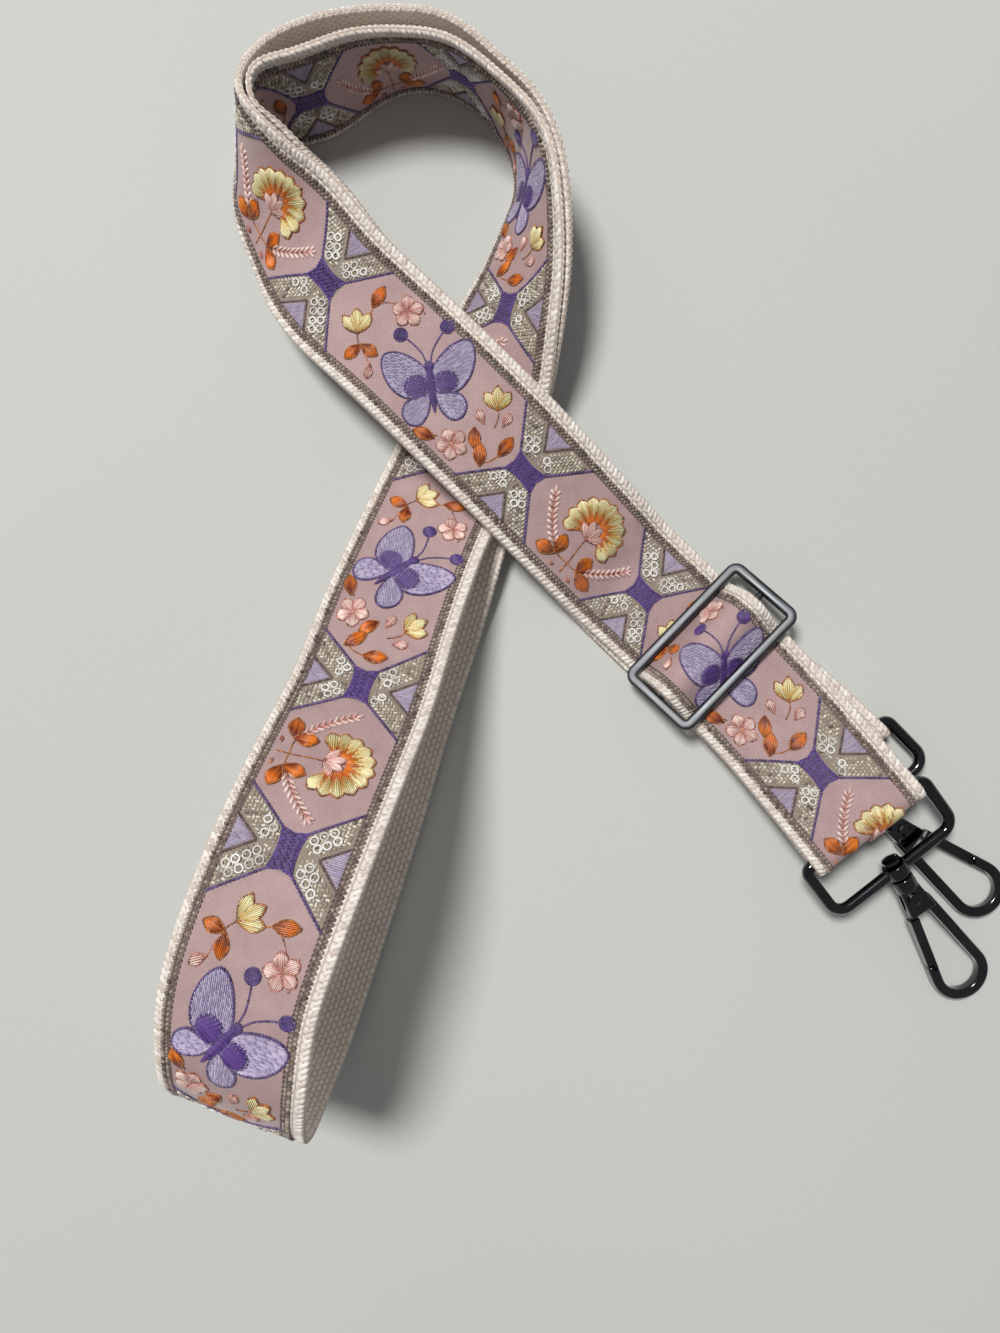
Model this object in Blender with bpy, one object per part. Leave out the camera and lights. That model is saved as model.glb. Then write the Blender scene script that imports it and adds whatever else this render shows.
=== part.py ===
"""Detachable bag strap: doubled webbing with a sewn trim, a slider and two swivel snap hooks.

Metres, +Z up. The strap lies as a ribbon bow: the hook end low on the right, the loop at the
back, the folded end low on the left. Places in the lay are shares of LOOP_REACH, measured from
a datum between the strands, and the finished model is moved so that its box stands centred on
the origin. The strap's surface runs in one direction, from the end sewn round the slider's bar,
round ring 1, through the slider, round the loop and the fold, to the end sewn round ring 2.
"""
import math

import bmesh
import bpy
import numpy as np
from mathutils import Matrix, Vector

# Webbing and trim
STRAP_WIDTH = 0.038
WEBBING_THICKNESS = 0.0017
WEBBING_CHAMFER = 0.0004
TRIM_MARGIN = 0.0035
TRIM_WIDTH = STRAP_WIDTH - 2 * TRIM_MARGIN
TRIM_THICKNESS = 0.0005
GAP = 0.0003
LAYER = WEBBING_THICKNESS + GAP + TRIM_THICKNESS
PITCH = LAYER + GAP
SLIDER_TAIL = 0.018
STEP_RUN = 0.0058
RING_TAIL_INSET = 0.002
GROUND_CLEARANCE = 0.0001

# Sampling of the swept surface
MAX_STEP = 0.009
FINE_STEP = 0.0005
MAX_TURN_DEG = 9.0
ARC_STEP_DEG = 20.0

# Slider
SLIDER_DEPTH = 0.025
SLIDER_BAR_WIDTH = 0.003
SLIDER_HEIGHT = 0.0026
SLIDER_CORNER_RADIUS = 0.002
SLIDER_EDGE_BEVEL = 0.0006
SLIDER_SIDE_CLEARANCE = 0.0015
SLIDER_SIDE_SHIFT = 0.0012
CENTRE_BAR_RADIUS = 0.0011
CENTRE_BAR_PIN_RADIUS = 0.0007
CENTRE_BAR_SEAT = 0.0015

# Strap rings
RING_WIRE_RADIUS = 0.0017
RING_SIDE_CLEARANCE = 0.0005
RING_DEPTH = 0.0168
RING_NEAR_CORNER_RADIUS = 0.0022
RING_FAR_CORNER_RADIUS = 0.0042
BOSS_RADIUS = 0.0036
BOSS_LENGTH = 0.0038
BOSS_BORE_RADIUS = 0.0021

# Swivel stems
STEM_RADIUS = 0.0015
STEM_HEAD_RADIUS = 0.0026
STEM_HEAD_LENGTH = 0.0013
SWIVEL_END_PLAY = 0.0008

# Hook bodies
HOOK_LENGTH = 0.0463
HOOK_WIDTH = 0.017
HOOK_BAR_WIDTH = 0.003
HOOK_THICKNESS = 0.0036
HOOK_EDGE_BEVEL = 0.0004
COLLAR_RADIUS = 0.0033
COLLAR_LENGTH = 0.0036
NECK_WIDTH = 0.0084
NECK_LENGTH = 0.0087
NECK_THICKNESS = 0.005
NECK_CORNER_RADIUS = 0.0016
SLOT_HEIGHT = 0.0022
SLOT_BACK_WALL = 0.0012
SPINE_WALL = 0.002
SPRING_POCKET_DEPTH = 0.0011
ARM_START_INSET = 0.0038
NOSE_INSET = 0.0137
LIP_LENGTH = 0.0014

# Gates, their rivets and springs
GATE_ROOT_THICKNESS = 0.0016
GATE_THICKNESS = 0.0034
GATE_WIDTH = 0.0028
GATE_ROOT_RADIUS = 0.0021
GATE_PIVOT_PLACE = 0.0097
GATE_PIVOT_SIDE = 0.0006
RIVET_RADIUS = 0.0009
RIVET_HEAD_RADIUS = 0.0018
RIVET_HEAD_HEIGHT = 0.0005
SPRING_PLACE = 0.0129
SPRING_WIRE_RADIUS = 0.000125
SPRING_COIL_RADIUS = 0.0006
SPRING_TURNS = 3
SPRING_POINTS_A_TURN = 8
SPRING_WIRE_SIDES = 5

OVERRUN = 0.001
ROUND_SIDES = 20
TUBE_SIDES = 12
CORNER_STEPS = 4

# The lay
LOOP_REACH = 0.1
STRAND_HEADING_DEG = 135.9
SLIDER_PLACE_SHARES = (0.588, 0.042)
RING_1_DISTANCE = 0.0659
RING_2_DISTANCE = 0.0516
RING_1_SLOPE_DEG = 9.8
RING_2_SLOPE_DEG = 2.6
HOOK_1_HEADING_DEG = -56.0
HOOK_2_HEADING_DEG = -37.2
RING_1_LIFT = 0.0018
DRIFT_GAP = 0.0005

# Sideways drift of the upper and lower strands, as shares of the strap's width against the
# distance from the slider as a share of RING_1_DISTANCE
UPPER_DRIFT_SHARES = ((-1.2, -0.167), (-1.0, -0.118), (-0.68, -0.046), (-0.4, 0.009),
                      (-0.2, 0.027), (0.0, 0.028), (0.2, 0.027), (0.6, 0.006), (0.9, 0.0),
                      (1.2, 0.0))
LOWER_DRIFT_SHARES = ((-1.0, 0.05), (-0.78, 0.058), (-0.6, 0.063), (-0.3, 0.058),
                      (0.15, 0.0), (0.5, 0.0), (1.2, 0.0))

# Straight strands beyond the slider: distance as a share of LOOP_REACH, lift as a share of
# STRAP_WIDTH
UPPER_RISE_SHARES = ((0.30, 0.052), (0.40, 0.138), (0.50, 0.235), (0.67, 0.375),
                     (0.80, 0.448), (0.97, 0.485), (1.25, 0.465))
LOWER_RISE_SHARES = ((0.31, 0.040), (0.40, 0.138), (0.50, 0.235), (0.67, 0.375),
                     (0.80, 0.448), (0.97, 0.485), (1.25, 0.465))
LOWER_START_SHARE = 0.21

# Loop, left side and top: plan place as shares of LOOP_REACH, lift as a share of STRAP_WIDTH,
# then the compass direction and elevation of the strap's right edge in degrees. The two layers
# enter the loop back to back
ENTRY_SHARES = (
    (-0.475, 1.072, 0.39, 43, 14),
    (-0.558, 1.187, 0.22, 37, 29),
    (-0.632, 1.290, 0.092, 30, 47),
    (-0.690, 1.385, 0.067, 18, 62),
    (-0.718, 1.480, 0.037, 2, 76),
)
OUTER_TURN_SHARES = (
    (-0.660, 1.612, 0.0, -30, 82),
    (-0.505, 1.702, 0.0, -62, 82),
    (-0.300, 1.733, 0.0, -88, 82),
    (-0.130, 1.710, 0.0, -108, 82),
    (0.006, 1.597, 0.0, -130, 85),
    (0.088, 1.485, 0.0, 0, 88),
)
INNER_TURN_SHARES = (
    (-0.635, 1.538, 0.0, 135, 87),
    (-0.532, 1.572, 0.0, 140, 83),
    (-0.415, 1.625, 0.0, 120, 88),
    (-0.260, 1.672, 0.0, -88, 82),
    (-0.142, 1.656, 0.0, -104, 82),
    (-0.018, 1.565, 0.0, -128, 85),
    (0.050, 1.468, 0.0, 0, 87),
)

# Loop, right side and the crossing, where the two layers lie back to back
SIDE_SHARES = (
    (0.114, 1.360, 0.0, 0, 76),
    (0.104, 1.220, 0.0, -4, 63),
    (0.072, 1.075, 0.0, -9, 49),
    (0.018, 0.925, 0.0, -13, 32),
    (-0.058, 0.720, 0.0, -16, 11),
)
ENTRY_GAP = 0.0018
SIDE_GAP = 0.0006

# Lower layer, the fold and the upper layer: plan place as shares of LOOP_REACH, lift as a
# share of STRAP_WIDTH, then the right edge's compass direction and elevation in degrees
LOWER_LAYER_SHARES = (
    (-0.150, 0.430, 0.0, -17, 9),
    (-0.238, 0.140, 0.0, -18, 5),
    (-0.315, -0.090, 0.0, -19, 2),
    (-0.395, -0.360, 0.0, -20, 1),
    (-0.470, -0.600, 0.0, -20, 1),
    (-0.545, -0.830, 0.01, -19, 2),
)
FOLD_SHARES = (
    (-0.600, -1.000, 0.11, -18, 4),
    (-0.632, -1.085, 0.36, -18, 5),
    (-0.650, -1.130, 0.71, -18, 6),
    (-0.650, -1.120, 1.10, -18, 6),
    (-0.635, -1.030, 1.49, -18, 7),
    (-0.612, -0.900, 1.73, -18, 7),
    (-0.590, -0.765, 1.81, -18, 7),
)
UPPER_LAYER_SHARES = (
    (-0.540, -0.600, 1.82, -18, 6),
    (-0.474, -0.415, 1.70, -18, 5),
    (-0.410, -0.230, 1.355, -18, 5),
    (-0.348, -0.046, 0.93, -18, 6),
    (-0.303, 0.120, 0.645, -18, 8),
    (-0.250, 0.290, 0.36, -17, 10),
    (-0.172, 0.490, 0.115, -17, 10),
)


def clear_scene():
    """Remove everything that a new file holds."""
    for obj in list(bpy.data.objects):
        bpy.data.objects.remove(obj, do_unlink=True)


def material(name, colour, roughness, metallic=0.0):
    """A Principled material."""
    made = bpy.data.materials.new(name)
    made.use_nodes = True
    shader = made.node_tree.nodes["Principled BSDF"]
    shader.inputs["Base Color"].default_value = (*colour, 1.0)
    shader.inputs["Roughness"].default_value = roughness
    shader.inputs["Metallic"].default_value = metallic
    made.diffuse_color = (*colour, 1.0)
    return made


def add_object(name, mesh, skin=None, world=None, parent=None):
    """Link a mesh as a named object, placed in the world and kept under its parent."""
    obj = bpy.data.objects.new(name, mesh)
    bpy.context.scene.collection.objects.link(obj)
    if skin:
        mesh.materials.append(skin)
    if parent:
        obj.parent = parent
        obj.matrix_parent_inverse = parent.matrix_world.inverted()
    if world:
        obj.matrix_basis = world
    bpy.context.view_layer.update()
    return obj


def smooth(mesh, angle_deg=40.0):
    """Shade a round piece smooth, with its sharp edges kept."""
    mesh.shade_smooth()
    mesh.set_sharp_from_angle(angle=math.radians(angle_deg))


def facing(place, heading_deg, slope_deg, roll_deg=0.0):
    """World matrix whose X axis points along a heading, sloping down, turned about itself."""
    return (Matrix.Translation(place) @ Matrix.Rotation(math.radians(heading_deg), 4, "Z")
            @ Matrix.Rotation(math.radians(slope_deg), 4, "Y")
            @ Matrix.Rotation(math.radians(roll_deg), 4, "X"))


def combine(obj, name, mesh, operation="DIFFERENCE"):
    """Cut a mesh from an object, or join it on; the mesh stays as a hidden guide."""
    guide = add_object(name, mesh, None, obj.matrix_world.copy(), obj)
    guide.hide_render = True
    guide.display_type = "WIRE"
    change = obj.modifiers.new(name, "BOOLEAN")
    change.operation = operation
    change.solver = "EXACT"
    change.object = guide


# Swept and extruded meshes

def swept_mesh(name, sections, closed=False, splits=None):
    """Skin rings of points, all of one length, into a solid, with capped ends or joined up.

    splits says for each step and side which way the four-sided face is cut in two.
    """
    count = len(sections)
    side = len(sections[0])
    vertices = [tuple(point) for ring in sections for point in ring]
    faces = []
    for i in range(count if closed else count - 1):
        this, after = i * side, (i + 1) % count * side
        for j in range(side):
            k = (j + 1) % side
            corners = (this + j, this + k, after + k, after + j)
            if splits is None:
                faces.append(corners)
            elif splits[i][j]:
                faces += [corners[:3], corners[2:] + corners[:1]]
            else:
                faces += [corners[1:], corners[:2] + corners[3:]]
    if not closed:
        faces.append(tuple(range(side))[::-1])
        faces.append(tuple((count - 1) * side + j for j in range(side)))
    mesh = bpy.data.meshes.new(name)
    mesh.from_pydata(vertices, [], faces)
    shape = bmesh.new()
    shape.from_mesh(mesh)
    bmesh.ops.recalc_face_normals(shape, faces=shape.faces)
    shape.to_mesh(mesh)
    shape.free()
    mesh.update()
    return mesh


def chamfered(width, height, chamfer):
    """Outline of a rectangle with its corners taken off, in order round it."""
    w, h = width / 2, height / 2
    return [(w, -h + chamfer), (w, h - chamfer), (w - chamfer, h), (chamfer - w, h),
            (-w, h - chamfer), (-w, chamfer - h), (chamfer - w, -h), (w - chamfer, -h)]


def rounded(radius, sides):
    """Outline of a circle."""
    turns = [2 * math.pi * i / sides for i in range(sides)]
    return [(radius * math.cos(turn), radius * math.sin(turn)) for turn in turns]


def flat_path_sections(path, outline, closed):
    """Sections along a flat path in the XY plane; the outline is (sideways, up)."""
    points = [Vector((x, y, 0.0)) for x, y in path]
    count = len(points)
    rings = []
    for i, point in enumerate(points):
        before = points[i - 1] if closed or i else None
        after = points[(i + 1) % count] if closed or i < count - 1 else None
        came = (point - before).normalized() if before is not None else None
        goes = (after - point).normalized() if after is not None else None
        along = ((came or goes) + (goes or came)).normalized()
        across = Vector((along.y, -along.x, 0.0))
        stretch = 1 / along.dot(came or goes)
        rings.append([point + across * (a * stretch) + Vector((0.0, 0.0, b)) for a, b in outline])
    return rings


def prism_mesh(name, outline, thickness, bevel=0.0):
    """A flat outline extruded equally up and down, with a small bevel on both rims."""
    shape = bmesh.new()
    face = shape.faces.new([shape.verts.new((x, y, -thickness / 2)) for x, y in outline])
    top = bmesh.ops.extrude_face_region(shape, geom=[face])
    raised = [item for item in top["geom"] if isinstance(item, bmesh.types.BMVert)]
    bmesh.ops.translate(shape, verts=raised, vec=(0.0, 0.0, thickness))
    bmesh.ops.recalc_face_normals(shape, faces=shape.faces)
    if bevel:
        rims = [edge for edge in shape.edges
                if abs(edge.verts[0].co.z - edge.verts[1].co.z) < thickness / 2]
        bmesh.ops.bevel(shape, geom=rims, offset=bevel, segments=1, affect="EDGES")
    mesh = bpy.data.meshes.new(name)
    shape.to_mesh(mesh)
    shape.free()
    return mesh


def box_mesh(name, low, high):
    """A box between two corners."""
    (x0, y0, z0), (x1, y1, z1) = low, high
    mesh = prism_mesh(name, [(x0, y0), (x1, y0), (x1, y1), (x0, y1)], z1 - z0)
    mesh.transform(Matrix.Translation((0.0, 0.0, (z0 + z1) / 2)))
    return mesh


def turned_mesh(name, profile, axis="X", sides=ROUND_SIDES):
    """A solid of revolution from (distance, radius) pairs, capped at both ends."""
    rings = []
    for distance, radius in profile:
        ring = []
        for x, y in rounded(radius, sides):
            point = {"X": (distance, x, y), "Y": (x, distance, y), "Z": (x, y, distance)}[axis]
            ring.append(point)
        rings.append(ring)
    mesh = swept_mesh(name, rings)
    smooth(mesh)
    return mesh


def moved(mesh, place):
    """Shift a mesh in its own frame."""
    mesh.transform(Matrix.Translation(place))
    return mesh


def rounded_rectangle(x0, x1, half_width, near_radius, far_radius):
    """Closed path round a rectangle with arcs at its corners."""
    path = []
    corners = ((x1 - far_radius, half_width - far_radius, far_radius, 90),
               (x0 + near_radius, half_width - near_radius, near_radius, 180),
               (x0 + near_radius, near_radius - half_width, near_radius, 270),
               (x1 - far_radius, far_radius - half_width, far_radius, 360))
    for x, y, radius, end in corners:
        for i in range(CORNER_STEPS + 1):
            turn = math.radians(end - 90 + 90 * i / CORNER_STEPS)
            path.append((x + radius * math.cos(turn), y + radius * math.sin(turn)))
    return path


# Curves through chosen places

def cubic_through(knots, start_slope, end_slope):
    """Piecewise cubic through knots, by chord length, with given slopes at both ends.

    Returns a function of the distance, and the distances of the knots.
    """
    points = np.array(knots, dtype=float)
    chord = np.linalg.norm(np.diff(points[:, :3], axis=0), axis=1)
    where = np.concatenate(([0.0], np.cumsum(chord)))
    count = len(points)
    matrix = np.zeros((count, count))
    right = np.zeros_like(points)
    for i in range(1, count - 1):
        before, after = chord[i - 1], chord[i]
        matrix[i, i - 1:i + 2] = after, 2 * (before + after), before
        right[i] = 3 * (after * (points[i] - points[i - 1]) / before
                        + before * (points[i + 1] - points[i]) / after)
    matrix[0, 0] = matrix[-1, -1] = 1
    right[0], right[-1] = start_slope, end_slope
    slopes = np.linalg.solve(matrix, right)

    def at(distance):
        i = int(min(max(np.searchsorted(where, distance) - 1, 0), count - 2))
        h = chord[i]
        x = (distance - where[i]) / h
        return ((1 + 2 * x) * (1 - x) ** 2 * points[i] + x * (1 - x) ** 2 * h * slopes[i]
                + x * x * (3 - 2 * x) * points[i + 1] + x * x * (x - 1) * h * slopes[i + 1])

    return at, where


def belt(stops):
    """Points of a belt drawn round circles: each stop is (centre, radius, side).

    side is 1 where the belt turns left round the circle, -1 where it turns right and 0 at a
    plain point. Returns a list of pairs.
    """
    lines = []
    for (c1, r1, s1), (c2, r2, s2) in zip(stops, stops[1:]):
        step = np.subtract(c2, c1)
        distance = np.hypot(*step)
        angle = math.atan2(step[1], step[0]) - math.asin((s2 * r2 - s1 * r1) / distance)
        normal = np.array((-math.sin(angle), math.cos(angle)))
        lines.append((c1 - s1 * r1 * normal, c2 - s2 * r2 * normal))
    points = [tuple(lines[0][0])]
    for (centre, radius, side), came, goes in zip(stops[1:-1], lines, lines[1:]):
        if side == 0:
            points.append(tuple(came[1]))
            continue
        start = math.atan2(*(came[1] - centre)[::-1])
        end = math.atan2(*(goes[0] - centre)[::-1])
        sweep = (end - start) * side % (2 * math.pi)
        steps = max(2, math.ceil(math.degrees(sweep) / ARC_STEP_DEG))
        for i in range(steps + 1):
            turn = start + side * sweep * i / steps
            points.append((centre[0] + radius * math.cos(turn),
                           centre[1] + radius * math.sin(turn)))
    points.append(tuple(lines[-1][1]))
    return points


# The straight strand's own frame: u runs from the slider towards the loop

HEADING = math.radians(STRAND_HEADING_DEG)
ALONG = Vector((math.cos(HEADING), math.sin(HEADING), 0.0))
ACROSS = Vector((math.sin(HEADING), -math.cos(HEADING), 0.0))
SLIDER_PLACE = Vector((*SLIDER_PLACE_SHARES, 0.0)) * LOOP_REACH


def drift_curve(shares):
    """Sideways drift of a strand against u, as a smooth function."""
    knots = np.array([(at * RING_1_DISTANCE, side * STRAP_WIDTH) for at, side in shares])
    slopes = np.gradient(knots[:, 1], knots[:, 0])

    def at(u):
        i = int(np.clip(np.searchsorted(knots[:, 0], u) - 1, 0, len(knots) - 2))
        h = knots[i + 1, 0] - knots[i, 0]
        t = min(max((u - knots[i, 0]) / h, 0.0), 1.0)
        return ((1 + 2 * t) * (1 - t) ** 2 * knots[i, 1] + t * (1 - t) ** 2 * h * slopes[i]
                + t * t * (3 - 2 * t) * knots[i + 1, 1] + t * t * (t - 1) * h * slopes[i + 1])

    return at


UPPER_DRIFT = drift_curve(UPPER_DRIFT_SHARES)
LOWER_DRIFT = drift_curve(LOWER_DRIFT_SHARES)


def drift_rate(drift, u):
    """How fast a strand drifts sideways."""
    return (drift(u + FINE_STEP) - drift(u - FINE_STEP)) / (2 * FINE_STEP)


def strand(u, z, drift):
    """World place of a strand's middle at u and height z, then its right-edge direction."""
    place = SLIDER_PLACE + ALONG * u + ACROSS * drift(u) + Vector((0.0, 0.0, z))
    edge = (ACROSS - ALONG * drift_rate(drift, u)).normalized()
    return (*place, *edge)


def resting_height(elevation_deg):
    """Height of the middle of a layer that stands on its low edge."""
    lean = math.radians(elevation_deg)
    return (GROUND_CLEARANCE + math.sin(lean) * STRAP_WIDTH / 2
            + math.cos(lean) * LAYER / 2)


def lay_knots(rows):
    """World places and right-edge directions from a table of the lay."""
    knots = []
    for x, y, lift, compass_deg, elevation_deg in rows:
        compass, elevation = math.radians(compass_deg), math.radians(elevation_deg)
        knots.append((x * LOOP_REACH, y * LOOP_REACH,
                      resting_height(elevation_deg) + lift * STRAP_WIDTH,
                      math.cos(elevation) * math.cos(compass),
                      math.cos(elevation) * math.sin(compass), math.sin(elevation)))
    return knots


# Heights of the strand's layers, counted from the table up, and of the bars between them

MID = LAYER / 2
LEVEL_4 = GROUND_CLEARANCE + MID
LEVEL_3 = LEVEL_4 + PITCH
LEVEL_2 = LEVEL_3 + PITCH
LEVEL_1 = LEVEL_2 + PITCH
WRAP = GAP + MID
BAR_CORNER = math.hypot(SLIDER_BAR_WIDTH / 2 - SLIDER_EDGE_BEVEL, SLIDER_HEIGHT / 2)
LEFT_BAR_Z = LEVEL_3 + WRAP + BAR_CORNER
RIGHT_BAR_Z = LEVEL_1 + WRAP + BAR_CORNER
SLIDER_Z = (LEFT_BAR_Z + RIGHT_BAR_Z) / 2
SLIDER_HALF = (SLIDER_DEPTH - SLIDER_BAR_WIDTH) / 2
SLIDER_TILT = math.asin((RIGHT_BAR_Z - LEFT_BAR_Z) / (2 * SLIDER_HALF))
BAR_REACH = SLIDER_HALF * math.cos(SLIDER_TILT)
RING_WRAP = RING_WIRE_RADIUS + WRAP
RING_2_Z = LEVEL_4 + RING_WRAP
OVER_RING_2 = RING_WRAP + PITCH + DRIFT_GAP
RING_1_Z = RING_2_Z + OVER_RING_2 + RING_1_LIFT
STEP_END = -SLIDER_TAIL - GAP - STEP_RUN


def upper_strand():
    """From the slider's sewn end, round ring 1, through the slider: a list of stations."""
    bar = (0.0, SLIDER_Z)
    right_bar = (-BAR_REACH, RIGHT_BAR_Z)
    left_bar = (BAR_REACH, LEFT_BAR_Z)
    ring_1 = (-RING_1_DISTANCE, RING_1_Z)
    ring_2 = (-RING_2_DISTANCE, RING_2_Z)
    bar_wrap = CENTRE_BAR_RADIUS + WRAP
    under_bar = BAR_CORNER + WRAP
    rise = UPPER_RISE_SHARES[0]
    stops = [
        ((-SLIDER_TAIL, LEVEL_2), 0.0, 0),
        (right_bar, under_bar + PITCH, 1),
        (bar, bar_wrap, -1),
        (right_bar, under_bar + 2 * PITCH, -1),
        ((-SLIDER_TAIL - GAP, LEVEL_3), 0.0, 0),
        ((STEP_END, LEVEL_2 + GAP), 0.0, 0),
        (ring_2, OVER_RING_2, 1),
        (ring_1, RING_WRAP, -1),
        ((STEP_END, LEVEL_1 + GAP), 0.0, 0),
        (right_bar, under_bar, 1),
        (bar, bar_wrap + PITCH, -1),
        (left_bar, under_bar, 1),
        ((rise[0] * LOOP_REACH, LEVEL_3 + rise[1] * STRAP_WIDTH), 0.0, 0),
    ]
    return [strand(u, z, UPPER_DRIFT) for u, z in belt(stops)]


def lower_strand():
    """From the bow back to ring 2 and the end sewn round it."""
    stops = [
        ((LOWER_START_SHARE * LOOP_REACH, LEVEL_4), 0.0, 0),
        ((-RING_2_DISTANCE, RING_2_Z), RING_WRAP, -1),
        ((STEP_END - RING_TAIL_INSET, LEVEL_3), 0.0, 0),
    ]
    return [strand(u, z, LOWER_DRIFT) for u, z in belt(stops)]


def rising(shares, level, drift):
    """Knots of a straight strand that rises towards the crossing."""
    return [strand(at * LOOP_REACH, level + lift * STRAP_WIDTH, drift) for at, lift in shares]


def bow_knots():
    """Knots of the loop, the leg and the fold, between the two straight strands."""
    upper = rising(UPPER_RISE_SHARES, LEVEL_3 + SIDE_GAP, UPPER_DRIFT)[1:]
    outer = upper + lay_knots(ENTRY_SHARES + OUTER_TURN_SHARES + SIDE_SHARES
                              + LOWER_LAYER_SHARES)
    still = np.zeros(6)
    at, where = cubic_through(outer, still, still)

    def backing(first, count, gap):
        """Knots of the layer that lies on the back of the outer one."""
        knots = []
        for i in range(first, first + count):
            travel = Vector(at(where[i] + FINE_STEP)[:3] - at(where[i] - FINE_STEP)[:3])
            edge = Vector(outer[i][3:])
            face = edge.cross(travel).normalized()
            knots.append((*(Vector(outer[i][:3]) - face * (PITCH + gap)), *edge))
        return knots[::-1]

    entry = backing(len(upper), len(ENTRY_SHARES), ENTRY_GAP)
    turned = len(upper) + len(ENTRY_SHARES) + len(OUTER_TURN_SHARES)
    side = backing(turned, len(SIDE_SHARES), SIDE_GAP)
    lower = rising(LOWER_RISE_SHARES, LEVEL_4, LOWER_DRIFT)
    return (outer + lay_knots(FOLD_SHARES + UPPER_LAYER_SHARES) + side
            + lay_knots(INNER_TURN_SHARES)[::-1] + entry + lower[::-1])


def strap_stations():
    """The strap's middle line with its right edge: slider end, bow and ring 2 end."""
    before, after = upper_strand(), lower_strand()
    knots = [before[-1]] + bow_knots() + [after[0]]
    leave = (Vector(before[-1][:3]) - Vector(before[-2][:3])).normalized()
    join = (Vector(after[1][:3]) - Vector(after[0][:3])).normalized()
    still = (0.0, 0.0, 0.0)
    at, where = cubic_through(knots, (*leave, *still), (*join, *still))
    middle = [at(d) for d in np.arange(FINE_STEP, where[-1], FINE_STEP)]
    return before, middle, after


def frames(stations):
    """Place, right edge and face direction at each station."""
    places = np.array([station[:3] for station in stations])
    edges = np.array([station[3:] for station in stations])
    travel = np.diff(places, axis=0)
    travel /= np.linalg.norm(travel, axis=1)[:, None]
    along = np.vstack((travel[:1], travel[:-1] + travel[1:], travel[-1:]))
    along /= np.linalg.norm(along, axis=1)[:, None]
    edges = edges - along * np.sum(edges * along, axis=1)[:, None]
    edges /= np.linalg.norm(edges, axis=1)[:, None]
    face = np.cross(edges, along)
    shorten = np.ones(len(stations))
    shorten[1:-1] = np.sum(along[1:-1] * travel[:-1], axis=1)
    return places, edges, face / shorten[:, None]


def thinned(stations):
    """Leave out stations where the surface neither turns nor twists."""
    places, edges, faces = frames(stations)
    alike = math.cos(math.radians(MAX_TURN_DEG))
    kept = [0]
    for i in range(1, len(stations) - 1):
        last = kept[-1]
        far = np.linalg.norm(places[i + 1] - places[last]) > MAX_STEP
        bent = np.dot(faces[i + 1], faces[last]) < alike
        turned = np.dot(edges[i + 1], edges[last]) < alike
        if far or bent or turned:
            kept.append(i)
    kept.append(len(stations) - 1)
    return [stations[i] for i in kept]


def dense(stations, drift):
    """Fill long straight runs of a strand, so that they follow its drift."""
    filled = [stations[0]]
    for one, two in zip(stations, stations[1:]):
        span = Vector(two[:3]) - Vector(one[:3])
        pieces = max(1, math.ceil(span.length / MAX_STEP))
        u1 = (Vector(one[:3]) - SLIDER_PLACE).dot(ALONG)
        u2 = (Vector(two[:3]) - SLIDER_PLACE).dot(ALONG)
        for i in range(1, pieces + 1):
            share = i / pieces
            filled.append(strand(u1 + (u2 - u1) * share, one[2] + (two[2] - one[2]) * share,
                                 drift))
    return filled


def bulging_diagonals(places, edges, faces):
    """Whether each step of the surface bulges to its face side when cut from its left edge's
    start to its right edge's end.

    Both pieces of the strap are cut alike, so that they stay parallel where it twists.
    """
    left, right = places - edges * STRAP_WIDTH / 2, places + edges * STRAP_WIDTH / 2
    rising = left[:-1] + right[1:] - right[:-1] - left[1:]
    return np.sum(rising * (faces[:-1] + faces[1:]), axis=1) > 0


def make_strap(webbing_skin, trim_skin):
    """The webbing and the trim on its face."""
    before, middle, after = strap_stations()
    stations = (dense(before, UPPER_DRIFT)
                + thinned([before[-1]] + middle + [after[0]])[1:-1]
                + dense(after, LOWER_DRIFT))
    places, edges, faces = frames(stations)
    made = []
    webbing_middle = (WEBBING_THICKNESS - LAYER) / 2
    trim_middle = (LAYER - TRIM_THICKNESS) / 2
    bulges = bulging_diagonals(places, edges, faces)
    w, h = TRIM_WIDTH / 2, TRIM_THICKNESS / 2
    webbing_outline = chamfered(STRAP_WIDTH, WEBBING_THICKNESS, WEBBING_CHAMFER)
    webbing_outline[3:3] = [(w, WEBBING_THICKNESS / 2), (-w, WEBBING_THICKNESS / 2)]
    for name, outline, lift, skin in (
            ("webbing", webbing_outline, webbing_middle, webbing_skin),
            ("embroidered_trim", [(w, -h), (w, h), (-w, h), (-w, -h)], trim_middle, trim_skin)):
        rings = [[place + edge * t + face * (up + lift) for t, up in outline]
                 for place, edge, face in zip(places, edges, faces)]
        rightward = [outline[(j + 1) % len(outline)][0] > outline[j][0]
                     for j in range(len(outline))]
        splits = [[bulge == right for right in rightward] for bulge in bulges]
        mesh = swept_mesh(name, rings, False, splits)
        smooth(mesh, 50.0)
        made.append(add_object(name, mesh, skin))
    return made


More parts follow.
